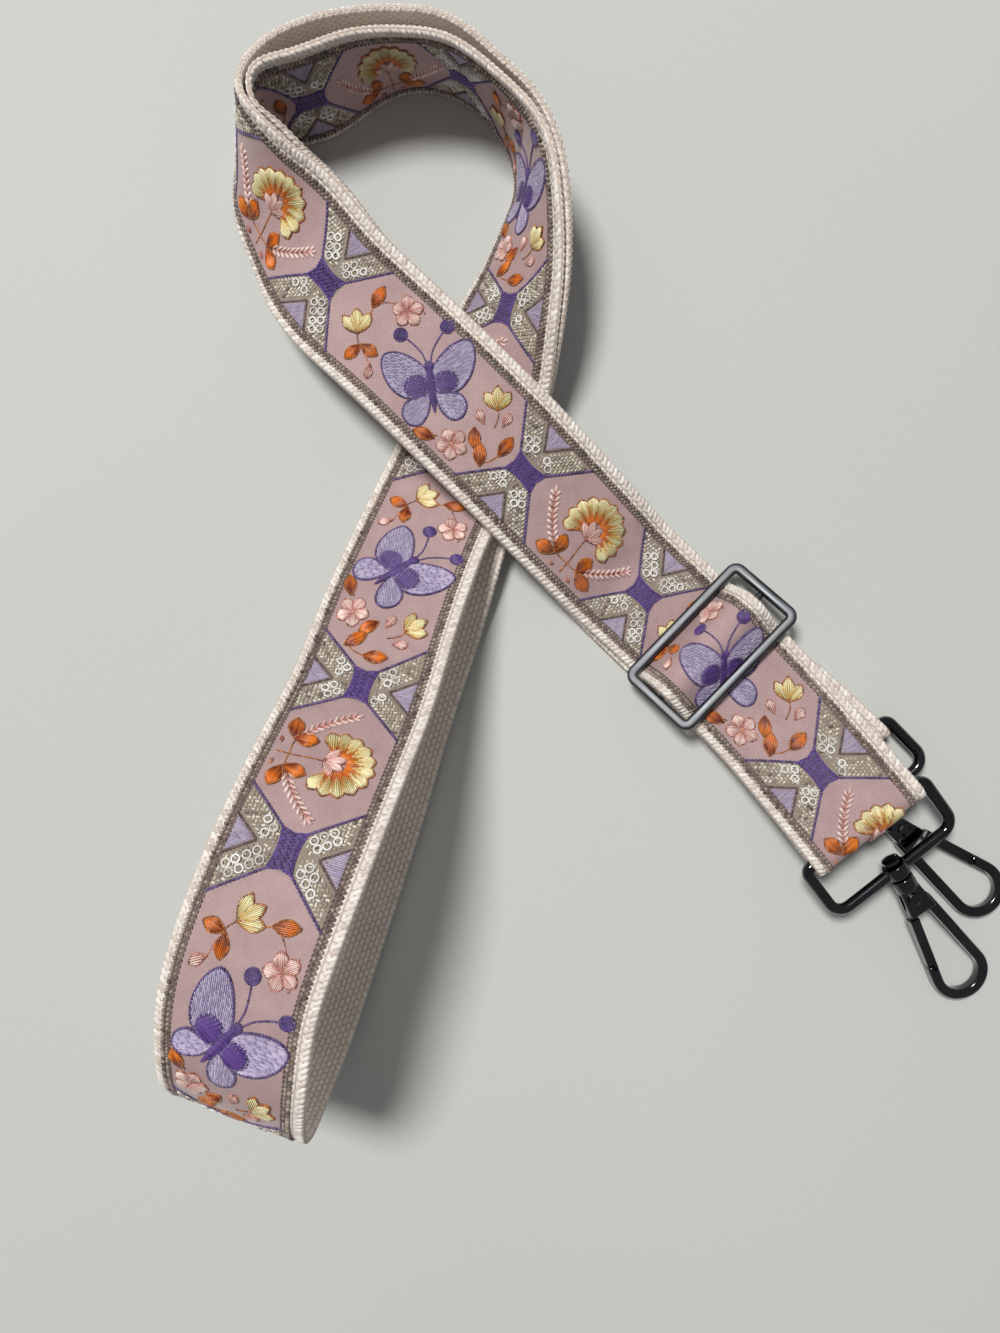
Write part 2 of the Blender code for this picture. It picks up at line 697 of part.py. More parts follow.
def make_slider(frame_skin, bar_skin):
    """The slider frame and its centre bar."""
    place = SLIDER_PLACE + ACROSS * (UPPER_DRIFT(0.0) + SLIDER_SIDE_SHIFT)
    place.z = SLIDER_Z
    world = facing(place, STRAND_HEADING_DEG, math.degrees(SLIDER_TILT))
    half_width = STRAP_WIDTH / 2 + SLIDER_SIDE_CLEARANCE + SLIDER_BAR_WIDTH / 2
    path = rounded_rectangle(-SLIDER_HALF, SLIDER_HALF, half_width,
                             SLIDER_CORNER_RADIUS, SLIDER_CORNER_RADIUS)
    outline = chamfered(SLIDER_BAR_WIDTH, SLIDER_HEIGHT, SLIDER_EDGE_BEVEL)
    mesh = swept_mesh("slider_frame", flat_path_sections(path, outline, True), True)
    smooth(mesh, 30.0)
    slider = add_object("slider_frame", mesh, frame_skin, world)
    shoulder = half_width - SLIDER_BAR_WIDTH / 2 - GAP
    seat = shoulder + GAP + CENTRE_BAR_SEAT
    hole = CENTRE_BAR_PIN_RADIUS + GAP / 2
    combine(slider, "slider_bar_holes",
            turned_mesh("slider_bar_holes", [(-seat - GAP, hole), (seat + GAP, hole)],
                        "Y", TUBE_SIDES))
    bar = turned_mesh("slider_centre_bar",
                      [(-seat, CENTRE_BAR_PIN_RADIUS), (-shoulder, CENTRE_BAR_PIN_RADIUS),
                       (-shoulder, CENTRE_BAR_RADIUS), (shoulder, CENTRE_BAR_RADIUS),
                       (shoulder, CENTRE_BAR_PIN_RADIUS), (seat, CENTRE_BAR_PIN_RADIUS)],
                      "Y", TUBE_SIDES)
    add_object("slider_centre_bar", bar, bar_skin, world, slider)
    return slider


def make_ring(number, world, skin):
    """A strap ring: its strap bar on the joint axis, its boss on the far bar."""
    half_width = STRAP_WIDTH / 2 + RING_SIDE_CLEARANCE + RING_WIRE_RADIUS
    path = rounded_rectangle(0.0, RING_DEPTH, half_width,
                             RING_NEAR_CORNER_RADIUS, RING_FAR_CORNER_RADIUS)
    mesh = swept_mesh(f"strap_ring_{number}",
                      flat_path_sections(path, rounded(RING_WIRE_RADIUS, TUBE_SIDES), True), True)
    smooth(mesh)
    ring = add_object(f"strap_ring_{number}", mesh, skin, world)
    ends = RING_DEPTH - BOSS_LENGTH / 2, RING_DEPTH + BOSS_LENGTH / 2
    combine(ring, f"ring_{number}_boss",
            turned_mesh(f"ring_{number}_boss", [(end, BOSS_RADIUS) for end in ends]), "UNION")
    combine(ring, f"ring_{number}_bore",
            turned_mesh(f"ring_{number}_bore",
                        [(ends[0] - OVERRUN, BOSS_BORE_RADIUS),
                         (ends[1] + OVERRUN, BOSS_BORE_RADIUS)]))
    return ring


# Places along a hook, from the middle of the ring's far bar outwards, with the gate on +Y

COLLAR_START = BOSS_LENGTH / 2 + SWIVEL_END_PLAY
NECK_START = COLLAR_START + COLLAR_LENGTH
NECK_END = NECK_START + NECK_LENGTH
NECK_HALF = NECK_WIDTH / 2
SLOT_LOW = SPINE_WALL - NECK_HALF
STEM_SEAT = NECK_START - GAP
TIP_CENTRE = HOOK_LENGTH - HOOK_WIDTH / 2
TIP_RADIUS = (HOOK_WIDTH - HOOK_BAR_WIDTH) / 2
NOSE_PLACE = HOOK_LENGTH - NOSE_INSET
SIDE_START = NECK_END - ARM_START_INSET
SIDE_OFFSET = NECK_HALF - HOOK_BAR_WIDTH / 2
GATE_PIVOT = Vector((GATE_PIVOT_PLACE, GATE_PIVOT_SIDE, 0.0))
PIN_HOLE_RADIUS = RIVET_RADIUS + GAP / 2


def hook_line():
    """Middle line of the hook: up the spine side, round the tip, down the gate side."""
    return belt([((SIDE_START, -SIDE_OFFSET), 0.0, 0), ((TIP_CENTRE, 0.0), TIP_RADIUS, 1),
                 ((SIDE_START, SIDE_OFFSET), 0.0, 0)])


def on_gate_side(at):
    """Point of the gate side's middle line at a distance along the hook."""
    (x1, y1), (x2, y2) = hook_line()[-2:]
    return Vector((at, y1 + (y2 - y1) * (at - x1) / (x2 - x1), 0.0))


def gate_directions():
    """Unit vectors along the gate side, towards the tip, and outwards."""
    along = (on_gate_side(TIP_CENTRE) - on_gate_side(NECK_END)).normalized()
    return along, Vector((-along.y, along.x, 0.0))


def hook_arm():
    """The bent bar of the hook, from inside the neck round to the lip."""
    lip = on_gate_side(NOSE_PLACE - LIP_LENGTH)
    path = hook_line()[:-1] + [(lip.x, lip.y)]
    section = chamfered(HOOK_BAR_WIDTH, HOOK_THICKNESS, HOOK_EDGE_BEVEL)
    return flat_path_sections(path, section, False)


def shape_neck(body, number):
    """Join the neck and collar to a hook's arm and cut the slot, bores and spring pocket."""
    neck = [(NECK_START, -COLLAR_RADIUS), (NECK_START + NECK_CORNER_RADIUS, -NECK_HALF),
            (NECK_END, -NECK_HALF), (NECK_END, NECK_HALF),
            (NECK_START + NECK_CORNER_RADIUS, NECK_HALF), (NECK_START, COLLAR_RADIUS)]
    name = f"hook_{number}_neck"
    combine(body, name, prism_mesh(name, neck, NECK_THICKNESS, HOOK_EDGE_BEVEL), "UNION")
    name = f"hook_{number}_collar"
    collar = [(COLLAR_START, COLLAR_RADIUS - HOOK_EDGE_BEVEL),
              (COLLAR_START + HOOK_EDGE_BEVEL, COLLAR_RADIUS),
              (NECK_START + HOOK_EDGE_BEVEL, COLLAR_RADIUS),
              (NECK_START + NECK_CORNER_RADIUS, NECK_THICKNESS / 2 - HOOK_EDGE_BEVEL)]
    combine(body, name, turned_mesh(name, collar), "UNION")
    name = f"hook_{number}_slot"
    combine(body, name, box_mesh(name, (NECK_START + SLOT_BACK_WALL, SLOT_LOW, -SLOT_HEIGHT / 2),
                                 (NECK_END + OVERRUN, NECK_HALF + OVERRUN, SLOT_HEIGHT / 2)))
    name = f"hook_{number}_stem_bore"
    bore = STEM_RADIUS + GAP / 2
    combine(body, name, turned_mesh(name, [(COLLAR_START - OVERRUN, bore),
                                           (STEM_SEAT + GAP, bore)]))
    name = f"hook_{number}_rivet_bore"
    reach = NECK_THICKNESS / 2 + OVERRUN
    pin_hole = turned_mesh(name, [(-reach, PIN_HOLE_RADIUS), (reach, PIN_HOLE_RADIUS)],
                           "Z", TUBE_SIDES)
    combine(body, name, moved(pin_hole, GATE_PIVOT))
    name = f"hook_{number}_spring_pocket"
    pocket = SPRING_COIL_RADIUS + SPRING_WIRE_RADIUS + GAP / 2
    hole = turned_mesh(name, [(SLOT_LOW - SPRING_POCKET_DEPTH, pocket), (SLOT_LOW + GAP, pocket)],
                       "Y", TUBE_SIDES)
    combine(body, name, moved(hole, (SPRING_PLACE, 0.0, 0.0)))


def cut_lip(body, number):
    """Take the inner half off the nose's end, which leaves the lip that stops the gate."""
    along, outward = gate_directions()
    step = on_gate_side(NOSE_PLACE)
    back = along * (LIP_LENGTH + OVERRUN)
    inside = outward * (HOOK_BAR_WIDTH / 2 + OVERRUN)
    name = f"hook_{number}_lip_cut"
    corners = [step - inside, step, step - back, step - back - inside]
    combine(body, name, prism_mesh(name, [(c.x, c.y) for c in corners],
                                   HOOK_THICKNESS + OVERRUN))


def make_hook(number, world, ring, skins):
    """One swivel snap hook: body, stem, gate, gate rivet and spring."""
    name = f"hook_body_{number}"
    arm = swept_mesh(name, hook_arm())
    smooth(arm, 30.0)
    body = add_object(name, arm, skins["hook"], world, ring)
    shape_neck(body, number)
    cut_lip(body, number)

    head = -COLLAR_START
    name = f"swivel_stem_{number}"
    stem = [(head - STEM_HEAD_LENGTH, STEM_RADIUS),
            (head - STEM_HEAD_LENGTH * 2 / 3, STEM_HEAD_RADIUS),
            (head, STEM_HEAD_RADIUS), (head, STEM_RADIUS), (STEM_SEAT, STEM_RADIUS)]
    add_object(name, turned_mesh(name, stem), skins["dark"], world, body)

    reach = NECK_THICKNESS / 2 + GAP / 3
    name = f"gate_rivet_{number}"
    half = [(reach, RIVET_RADIUS), (reach, RIVET_HEAD_RADIUS),
            (reach + RIVET_HEAD_HEIGHT / 2, RIVET_HEAD_RADIUS),
            (reach + RIVET_HEAD_HEIGHT, RIVET_HEAD_RADIUS * 2 / 3)]
    rivet = [(-z, radius) for z, radius in half[::-1]] + half
    pivot_world = world @ Matrix.Translation(GATE_PIVOT)
    add_object(name, turned_mesh(name, rivet, "Z", TUBE_SIDES), skins["dark"], pivot_world, body)
    make_gate(number, pivot_world, body, skins["gate"])
    make_spring(number, world, body, skins["dark"])


def gate_inner_edge():
    """Ends of the root's inner edge: on its round and where the arm starts."""
    arm = on_gate_side(NECK_END + OVERRUN) - gate_directions()[1] * (GATE_WIDTH / 3)
    return GATE_PIVOT - Vector((0.0, GATE_ROOT_RADIUS, 0.0)), arm


def make_gate(number, world, body, skin):
    """The gate, with its root round the rivet and its end tucked behind the lip."""
    along, outward = gate_directions()
    half = outward * (GATE_WIDTH / 2)
    start = on_gate_side(NECK_END + OVERRUN) - GATE_PIVOT
    end = on_gate_side(NOSE_PLACE - GAP) - GATE_PIVOT
    tongue = end - outward * GAP
    step = along * LIP_LENGTH
    outline = [start - half, end - half, tongue, tongue - step, end - step + half, start + half]
    name = f"gate_{number}"
    arm = prism_mesh(name, [(p.x, p.y) for p in outline], GATE_THICKNESS, HOOK_EDGE_BEVEL / 2)
    gate = add_object(name, arm, skin, world, body)

    inside = start + along * OVERRUN
    third = outward * (GATE_WIDTH / 3)
    root = [inside - third, gate_inner_edge()[1] - GATE_PIVOT]
    for i in range(2 * CORNER_STEPS + 1):
        turn = math.radians(270 - 90 * i / CORNER_STEPS)
        root.append(Vector((math.cos(turn), math.sin(turn), 0.0)) * GATE_ROOT_RADIUS)
    root += [start + third - along * OVERRUN, inside + third]
    name = f"gate_{number}_root"
    combine(gate, name, prism_mesh(name, [(p.x, p.y) for p in root], GATE_ROOT_THICKNESS),
            "UNION")
    name = f"gate_{number}_bore"
    combine(gate, name, turned_mesh(name, [(-GATE_THICKNESS, PIN_HOLE_RADIUS),
                                           (GATE_THICKNESS, PIN_HOLE_RADIUS)], "Z", TUBE_SIDES))


def make_spring(number, world, body, skin):
    """The small coil spring between the hook's spine and the gate's root."""
    low, high = gate_inner_edge()
    share = (SPRING_PLACE - low.x) / (high.x - low.x)
    top = low.y + (high.y - low.y) * share - GAP / 2 - SPRING_WIRE_RADIUS
    bottom = SLOT_LOW - SPRING_POCKET_DEPTH + GAP / 2 + SPRING_WIRE_RADIUS
    count = SPRING_TURNS * SPRING_POINTS_A_TURN
    points = []
    for i in range(count + 1):
        turn = 2 * math.pi * i / SPRING_POINTS_A_TURN
        points.append(Vector((SPRING_PLACE + SPRING_COIL_RADIUS * math.cos(turn),
                              bottom + (top - bottom) * i / count,
                              SPRING_COIL_RADIUS * math.sin(turn))))
    rings = []
    for i, point in enumerate(points):
        ahead = points[min(i + 1, count)] - points[max(i - 1, 0)]
        inward = Vector((SPRING_PLACE - point.x, 0.0, -point.z)).normalized()
        third = ahead.cross(inward).normalized()
        rings.append([point + inward * a + third * b
                      for a, b in rounded(SPRING_WIRE_RADIUS, SPRING_WIRE_SIDES)])
    name = f"gate_spring_{number}"
    mesh = swept_mesh(name, rings)
    smooth(mesh, 80.0)
    add_object(name, mesh, skin, world, body)


def end_of_strand(distance, z, drift):
    """Place of a ring's strap bar and the heading of the strand that leaves it."""
    place = Vector(strand(-distance, z, drift)[:3])
    leaving = -(ALONG + ACROSS * drift_rate(drift, -distance))
    return place, math.degrees(math.atan2(leaving.y, leaving.x))


def make_end(number, strand_end, slope_deg, hook_heading_deg, roll_deg, skins):
    """A ring with its hook, the hook's tip resting on the table."""
    ring_world = facing(*strand_end, slope_deg)
    ring = make_ring(number, ring_world, skins["steel"])
    boss = ring_world @ Vector((RING_DEPTH, 0.0, 0.0))
    drop = boss.z - HOOK_THICKNESS / 2 - GROUND_CLEARANCE
    slope = math.degrees(math.asin(drop / HOOK_LENGTH))
    make_hook(number, facing(boss, hook_heading_deg, slope, roll_deg), ring, skins)


def centre_on_origin(strap):
    """Move everything so that the model's box stands centred on the origin."""
    bpy.context.view_layer.update()
    held = bpy.context.evaluated_depsgraph_get()
    corners = []
    for obj in bpy.data.objects:
        if obj.type == "MESH" and not obj.hide_render:
            shape = obj.evaluated_get(held).to_mesh()
            corners += [obj.matrix_world @ vertex.co for vertex in shape.vertices]
    low = [min(corner[axis] for corner in corners) for axis in range(3)]
    high = [max(corner[axis] for corner in corners) for axis in range(3)]
    shift = Matrix.Translation((-(low[0] + high[0]) / 2, -(low[1] + high[1]) / 2, -low[2]))
    for obj in bpy.data.objects:
        if obj in strap:
            obj.data.transform(shift)
        elif not obj.parent:
            obj.matrix_basis = shift @ obj.matrix_basis
    bpy.context.view_layer.update()


def main():
    """Build the strap."""
    clear_scene()
    skins = {
        "webbing": material("webbing_cotton", (0.72, 0.66, 0.58), 0.85),
        "trim": material("trim_embroidery", (0.36, 0.22, 0.24), 0.75),
        "slider": material("slider_metal", (0.09, 0.09, 0.1), 0.35, 1.0),
        "bar": material("slider_bar_metal", (0.12, 0.12, 0.13), 0.35, 1.0),
        "steel": material("ring_metal", (0.05, 0.05, 0.055), 0.3, 1.0),
        "hook": material("hook_metal", (0.03, 0.03, 0.033), 0.25, 1.0),
        "gate": material("gate_metal", (0.04, 0.04, 0.043), 0.25, 1.0),
        "dark": material("pin_metal", (0.07, 0.07, 0.075), 0.35, 1.0),
    }
    strap = make_strap(skins["webbing"], skins["trim"])
    make_slider(skins["slider"], skins["bar"])
    end = end_of_strand(RING_1_DISTANCE, RING_1_Z, UPPER_DRIFT)
    make_end(1, end, RING_1_SLOPE_DEG, HOOK_1_HEADING_DEG, 180.0, skins)
    end = end_of_strand(RING_2_DISTANCE, RING_2_Z, LOWER_DRIFT)
    make_end(2, end, RING_2_SLOPE_DEG, HOOK_2_HEADING_DEG, 0.0, skins)
    centre_on_origin(strap)


main()
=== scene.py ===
import math

import bmesh
import bpy
import numpy as np
from mathutils import Matrix, Vector


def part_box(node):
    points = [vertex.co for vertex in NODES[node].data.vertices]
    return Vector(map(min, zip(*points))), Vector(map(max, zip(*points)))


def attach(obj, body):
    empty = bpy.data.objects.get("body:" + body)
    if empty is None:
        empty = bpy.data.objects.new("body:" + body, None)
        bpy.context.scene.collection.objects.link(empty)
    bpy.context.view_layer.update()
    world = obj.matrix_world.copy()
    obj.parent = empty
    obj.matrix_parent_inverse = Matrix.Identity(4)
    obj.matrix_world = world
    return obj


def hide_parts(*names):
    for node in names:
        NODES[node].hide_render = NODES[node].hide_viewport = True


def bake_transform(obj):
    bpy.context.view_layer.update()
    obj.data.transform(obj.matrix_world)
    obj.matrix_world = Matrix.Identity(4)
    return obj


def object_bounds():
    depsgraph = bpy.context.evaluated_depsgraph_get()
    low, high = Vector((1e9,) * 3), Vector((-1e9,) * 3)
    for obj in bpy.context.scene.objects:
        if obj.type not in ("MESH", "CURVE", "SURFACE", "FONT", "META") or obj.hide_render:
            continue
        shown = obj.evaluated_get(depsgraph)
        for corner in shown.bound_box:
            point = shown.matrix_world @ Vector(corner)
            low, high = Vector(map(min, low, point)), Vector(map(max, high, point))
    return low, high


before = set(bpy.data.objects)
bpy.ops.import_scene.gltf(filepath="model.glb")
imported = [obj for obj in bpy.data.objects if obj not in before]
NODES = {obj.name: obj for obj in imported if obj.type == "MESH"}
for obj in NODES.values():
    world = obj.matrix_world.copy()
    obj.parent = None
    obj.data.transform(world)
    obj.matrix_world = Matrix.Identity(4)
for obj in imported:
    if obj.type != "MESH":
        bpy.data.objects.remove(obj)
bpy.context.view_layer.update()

# Camera and floor: the photograph looks straight down
MM = 0.001
CAMERA_PLACE = (-0.0323, -0.0286, 0.2960)
FOCAL_SHARE = 1.0

# Sizes of the strap, in metres, as in the solids
STRAP_WIDTH = 0.038
WEBBING_THICKNESS = 0.0017
TRIM_MARGIN = 0.0035
TRIM_WIDTH = STRAP_WIDTH - 2 * TRIM_MARGIN
TRIM_THICKNESS = 0.0005
GAP = 0.0003
LAYER = WEBBING_THICKNESS + GAP + TRIM_THICKNESS
PITCH = LAYER + GAP
SLIDER_TAIL = 0.018
STEP_RUN = 0.0058
RING_TAIL_INSET = 0.002
GROUND_CLEARANCE = 0.0001
FINE_STEP = 0.0005
ARC_STEP_DEG = 5.0
SLIDER_DEPTH = 0.025
SLIDER_BAR_WIDTH = 0.003
SLIDER_HEIGHT = 0.0026
SLIDER_EDGE_BEVEL = 0.0006
SLIDER_SIDE_SHIFT = 0.0012
CENTRE_BAR_RADIUS = 0.0011
RING_WIRE_RADIUS = 0.0017

# The lay
LOOP_REACH = 0.1
STRAND_HEADING_DEG = 135.9
SLIDER_PLACE_SHARES = (0.588, 0.042)
RING_1_DISTANCE = 0.0659
RING_2_DISTANCE = 0.0516
RING_1_SLOPE_DEG = 9.8
RING_2_SLOPE_DEG = 2.6
HOOK_1_HEADING_DEG = -56.0
HOOK_2_HEADING_DEG = -37.2
RING_1_LIFT = 0.0018
DRIFT_GAP = 0.0005

# Sideways drift of the upper and lower strands, as shares of the strap's width against the
# distance from the slider as a share of RING_1_DISTANCE
UPPER_DRIFT_SHARES = ((-1.2, -0.167), (-1.0, -0.118), (-0.68, -0.046), (-0.4, 0.009),
                      (-0.2, 0.027), (0.0, 0.028), (0.2, 0.027), (0.6, 0.006), (0.9, 0.0),
                      (1.2, 0.0))
LOWER_DRIFT_SHARES = ((-1.0, 0.05), (-0.78, 0.058), (-0.6, 0.063), (-0.3, 0.058),
                      (0.15, 0.0), (0.5, 0.0), (1.2, 0.0))

# Straight strands beyond the slider: distance as a share of LOOP_REACH, lift as a share of
# STRAP_WIDTH
UPPER_RISE_SHARES = ((0.30, 0.052), (0.40, 0.138), (0.50, 0.235), (0.67, 0.375),
                     (0.80, 0.448), (0.97, 0.485), (1.25, 0.465))
LOWER_RISE_SHARES = ((0.31, 0.040), (0.40, 0.138), (0.50, 0.235), (0.67, 0.375),
                     (0.80, 0.448), (0.97, 0.485), (1.25, 0.465))
LOWER_START_SHARE = 0.21

# Loop, left side and top: plan place as shares of LOOP_REACH, lift as a share of STRAP_WIDTH,
# then the compass direction and elevation of the strap's right edge in degrees. The two layers
# enter the loop back to back
ENTRY_SHARES = (
    (-0.475, 1.072, 0.39, 43, 14),
    (-0.558, 1.187, 0.22, 37, 29),
    (-0.632, 1.290, 0.092, 30, 47),
    (-0.690, 1.385, 0.067, 18, 62),
    (-0.718, 1.480, 0.037, 2, 76),
)
OUTER_TURN_SHARES = (
    (-0.660, 1.612, 0.0, -30, 82),
    (-0.505, 1.702, 0.0, -62, 82),
    (-0.300, 1.733, 0.0, -88, 82),
    (-0.130, 1.710, 0.0, -108, 82),
    (0.006, 1.597, 0.0, -130, 85),
    (0.088, 1.485, 0.0, 0, 88),
)
INNER_TURN_SHARES = (
    (-0.635, 1.538, 0.0, 135, 87),
    (-0.532, 1.572, 0.0, 140, 83),
    (-0.415, 1.625, 0.0, 120, 88),
    (-0.260, 1.672, 0.0, -88, 82),
    (-0.142, 1.656, 0.0, -104, 82),
    (-0.018, 1.565, 0.0, -128, 85),
    (0.050, 1.468, 0.0, 0, 87),
)

# Loop, right side and the crossing, where the two layers lie back to back
SIDE_SHARES = (
    (0.114, 1.360, 0.0, 0, 76),
    (0.104, 1.220, 0.0, -4, 63),
    (0.072, 1.075, 0.0, -9, 49),
    (0.018, 0.925, 0.0, -13, 32),
    (-0.058, 0.720, 0.0, -16, 11),
)
ENTRY_GAP = 0.0018
SIDE_GAP = 0.0006

# Lower layer, the fold and the upper layer: plan place as shares of LOOP_REACH, lift as a
# share of STRAP_WIDTH, then the right edge's compass direction and elevation in degrees
LOWER_LAYER_SHARES = (
    (-0.150, 0.430, 0.0, -17, 9),
    (-0.238, 0.140, 0.0, -18, 5),
    (-0.315, -0.090, 0.0, -19, 2),
    (-0.395, -0.360, 0.0, -20, 1),
    (-0.470, -0.600, 0.0, -20, 1),
    (-0.545, -0.830, 0.01, -19, 2),
)
FOLD_SHARES = (
    (-0.600, -1.000, 0.11, -18, 4),
    (-0.632, -1.085, 0.36, -18, 5),
    (-0.650, -1.130, 0.71, -18, 6),
    (-0.650, -1.120, 1.10, -18, 6),
    (-0.635, -1.030, 1.49, -18, 7),
    (-0.612, -0.900, 1.73, -18, 7),
    (-0.590, -0.765, 1.81, -18, 7),
)
UPPER_LAYER_SHARES = (
    (-0.540, -0.600, 1.82, -18, 6),
    (-0.474, -0.415, 1.70, -18, 5),
    (-0.410, -0.230, 1.355, -18, 5),
    (-0.348, -0.046, 0.93, -18, 6),
    (-0.303, 0.120, 0.645, -18, 8),
    (-0.250, 0.290, 0.36, -17, 10),
    (-0.172, 0.490, 0.115, -17, 10),
)


def distances(points):
    """Distance along a line to each of its points."""
    return np.concatenate(([0.0], np.cumsum(np.linalg.norm(np.diff(points, axis=0), axis=1))))


def between(values, slopes, i, h, x):
    """Cubic from knot i to the next, h apart, at the share x of the way."""
    return ((1 + 2 * x) * (1 - x) ** 2 * values[i] + x * (1 - x) ** 2 * h * slopes[i]
            + x * x * (3 - 2 * x) * values[i + 1] + x * x * (x - 1) * h * slopes[i + 1])


def cubic_through(knots, start_slope, end_slope):
    """Piecewise cubic through knots, by chord length, with given slopes at both ends.

    Returns a function of the distance, and the distances of the knots.
    """
    points = np.array(knots, dtype=float)
    chord = np.linalg.norm(np.diff(points[:, :3], axis=0), axis=1)
    where = np.concatenate(([0.0], np.cumsum(chord)))
    count = len(points)
    matrix = np.zeros((count, count))
    right = np.zeros_like(points)
    for i in range(1, count - 1):
        before, after = chord[i - 1], chord[i]
        matrix[i, i - 1:i + 2] = after, 2 * (before + after), before
        right[i] = 3 * (after * (points[i] - points[i - 1]) / before
                        + before * (points[i + 1] - points[i]) / after)
    matrix[0, 0] = matrix[-1, -1] = 1
    right[0], right[-1] = start_slope, end_slope
    slopes = np.linalg.solve(matrix, right)

    def at(distance):
        i = int(min(max(np.searchsorted(where, distance) - 1, 0), count - 2))
        return between(points, slopes, i, chord[i], (distance - where[i]) / chord[i])

    return at, where


def belt(stops):
    """Points of a belt drawn round circles: each stop is (centre, radius, side).

    side is 1 where the belt turns left round the circle, -1 where it turns right and 0 at a
    plain point. Returns a list of pairs.
    """
    lines = []
    for (c1, r1, s1), (c2, r2, s2) in zip(stops, stops[1:]):
        step = np.subtract(c2, c1)
        distance = np.hypot(*step)
        angle = math.atan2(step[1], step[0]) - math.asin((s2 * r2 - s1 * r1) / distance)
        normal = np.array((-math.sin(angle), math.cos(angle)))
        lines.append((c1 - s1 * r1 * normal, c2 - s2 * r2 * normal))
    points = [tuple(lines[0][0])]
    for (centre, radius, side), came, goes in zip(stops[1:-1], lines, lines[1:]):
        if side == 0:
            points.append(tuple(came[1]))
            continue
        start = math.atan2(*(came[1] - centre)[::-1])
        end = math.atan2(*(goes[0] - centre)[::-1])
        sweep = (end - start) * side % (2 * math.pi)
        steps = max(2, math.ceil(math.degrees(sweep) / ARC_STEP_DEG))
        for i in range(steps + 1):
            turn = start + side * sweep * i / steps
            points.append((centre[0] + radius * math.cos(turn),
                           centre[1] + radius * math.sin(turn)))
    points.append(tuple(lines[-1][1]))
    return points


# The straight strand's own frame: u runs from the slider towards the loop

HEADING = math.radians(STRAND_HEADING_DEG)
ALONG = Vector((math.cos(HEADING), math.sin(HEADING), 0.0))
ACROSS = Vector((math.sin(HEADING), -math.cos(HEADING), 0.0))
SLIDER_PLACE = Vector((*SLIDER_PLACE_SHARES, 0.0)) * LOOP_REACH


def drift_curve(shares):
    """Sideways drift of a strand against u, as a smooth function."""
    knots = np.array([(at * RING_1_DISTANCE, side * STRAP_WIDTH) for at, side in shares])
    slopes = np.gradient(knots[:, 1], knots[:, 0])

    def at(u):
        i = int(np.clip(np.searchsorted(knots[:, 0], u) - 1, 0, len(knots) - 2))
        h = knots[i + 1, 0] - knots[i, 0]
        return between(knots[:, 1], slopes, i, h, min(max((u - knots[i, 0]) / h, 0.0), 1.0))

    return at


UPPER_DRIFT = drift_curve(UPPER_DRIFT_SHARES)
LOWER_DRIFT = drift_curve(LOWER_DRIFT_SHARES)


def drift_rate(drift, u):
    """How fast a strand drifts sideways."""
    return (drift(u + FINE_STEP) - drift(u - FINE_STEP)) / (2 * FINE_STEP)


def strand(u, z, drift):
    """World place of a strand's middle at u and height z, then its right-edge direction."""
    place = SLIDER_PLACE + ALONG * u + ACROSS * drift(u) + Vector((0.0, 0.0, z))
    edge = (ACROSS - ALONG * drift_rate(drift, u)).normalized()
    return (*place, *edge)


def resting_height(elevation_deg):
    """Height of the middle of a layer that stands on its low edge."""
    lean = math.radians(elevation_deg)
    return (GROUND_CLEARANCE + math.sin(lean) * STRAP_WIDTH / 2
            + math.cos(lean) * LAYER / 2)


def lay_knots(rows):
    """World places and right-edge directions from a table of the lay."""
    knots = []
    for x, y, lift, compass_deg, elevation_deg in rows:
        compass, elevation = math.radians(compass_deg), math.radians(elevation_deg)
        knots.append((x * LOOP_REACH, y * LOOP_REACH,
                      resting_height(elevation_deg) + lift * STRAP_WIDTH,
                      math.cos(elevation) * math.cos(compass),
                      math.cos(elevation) * math.sin(compass), math.sin(elevation)))
    return knots


# Heights of the strand's layers, counted from the table up, and of the bars between them

MID = LAYER / 2
LEVEL_4 = GROUND_CLEARANCE + MID
LEVEL_3 = LEVEL_4 + PITCH
LEVEL_2 = LEVEL_3 + PITCH
LEVEL_1 = LEVEL_2 + PITCH
WRAP = GAP + MID
BAR_CORNER = math.hypot(SLIDER_BAR_WIDTH / 2 - SLIDER_EDGE_BEVEL, SLIDER_HEIGHT / 2)
LEFT_BAR_Z = LEVEL_3 + WRAP + BAR_CORNER
RIGHT_BAR_Z = LEVEL_1 + WRAP + BAR_CORNER
SLIDER_Z = (LEFT_BAR_Z + RIGHT_BAR_Z) / 2
SLIDER_HALF = (SLIDER_DEPTH - SLIDER_BAR_WIDTH) / 2
SLIDER_TILT = math.asin((RIGHT_BAR_Z - LEFT_BAR_Z) / (2 * SLIDER_HALF))
BAR_REACH = SLIDER_HALF * math.cos(SLIDER_TILT)
RING_WRAP = RING_WIRE_RADIUS + WRAP
RING_2_Z = LEVEL_4 + RING_WRAP
OVER_RING_2 = RING_WRAP + PITCH + DRIFT_GAP
RING_1_Z = RING_2_Z + OVER_RING_2 + RING_1_LIFT
STEP_END = -SLIDER_TAIL - GAP - STEP_RUN


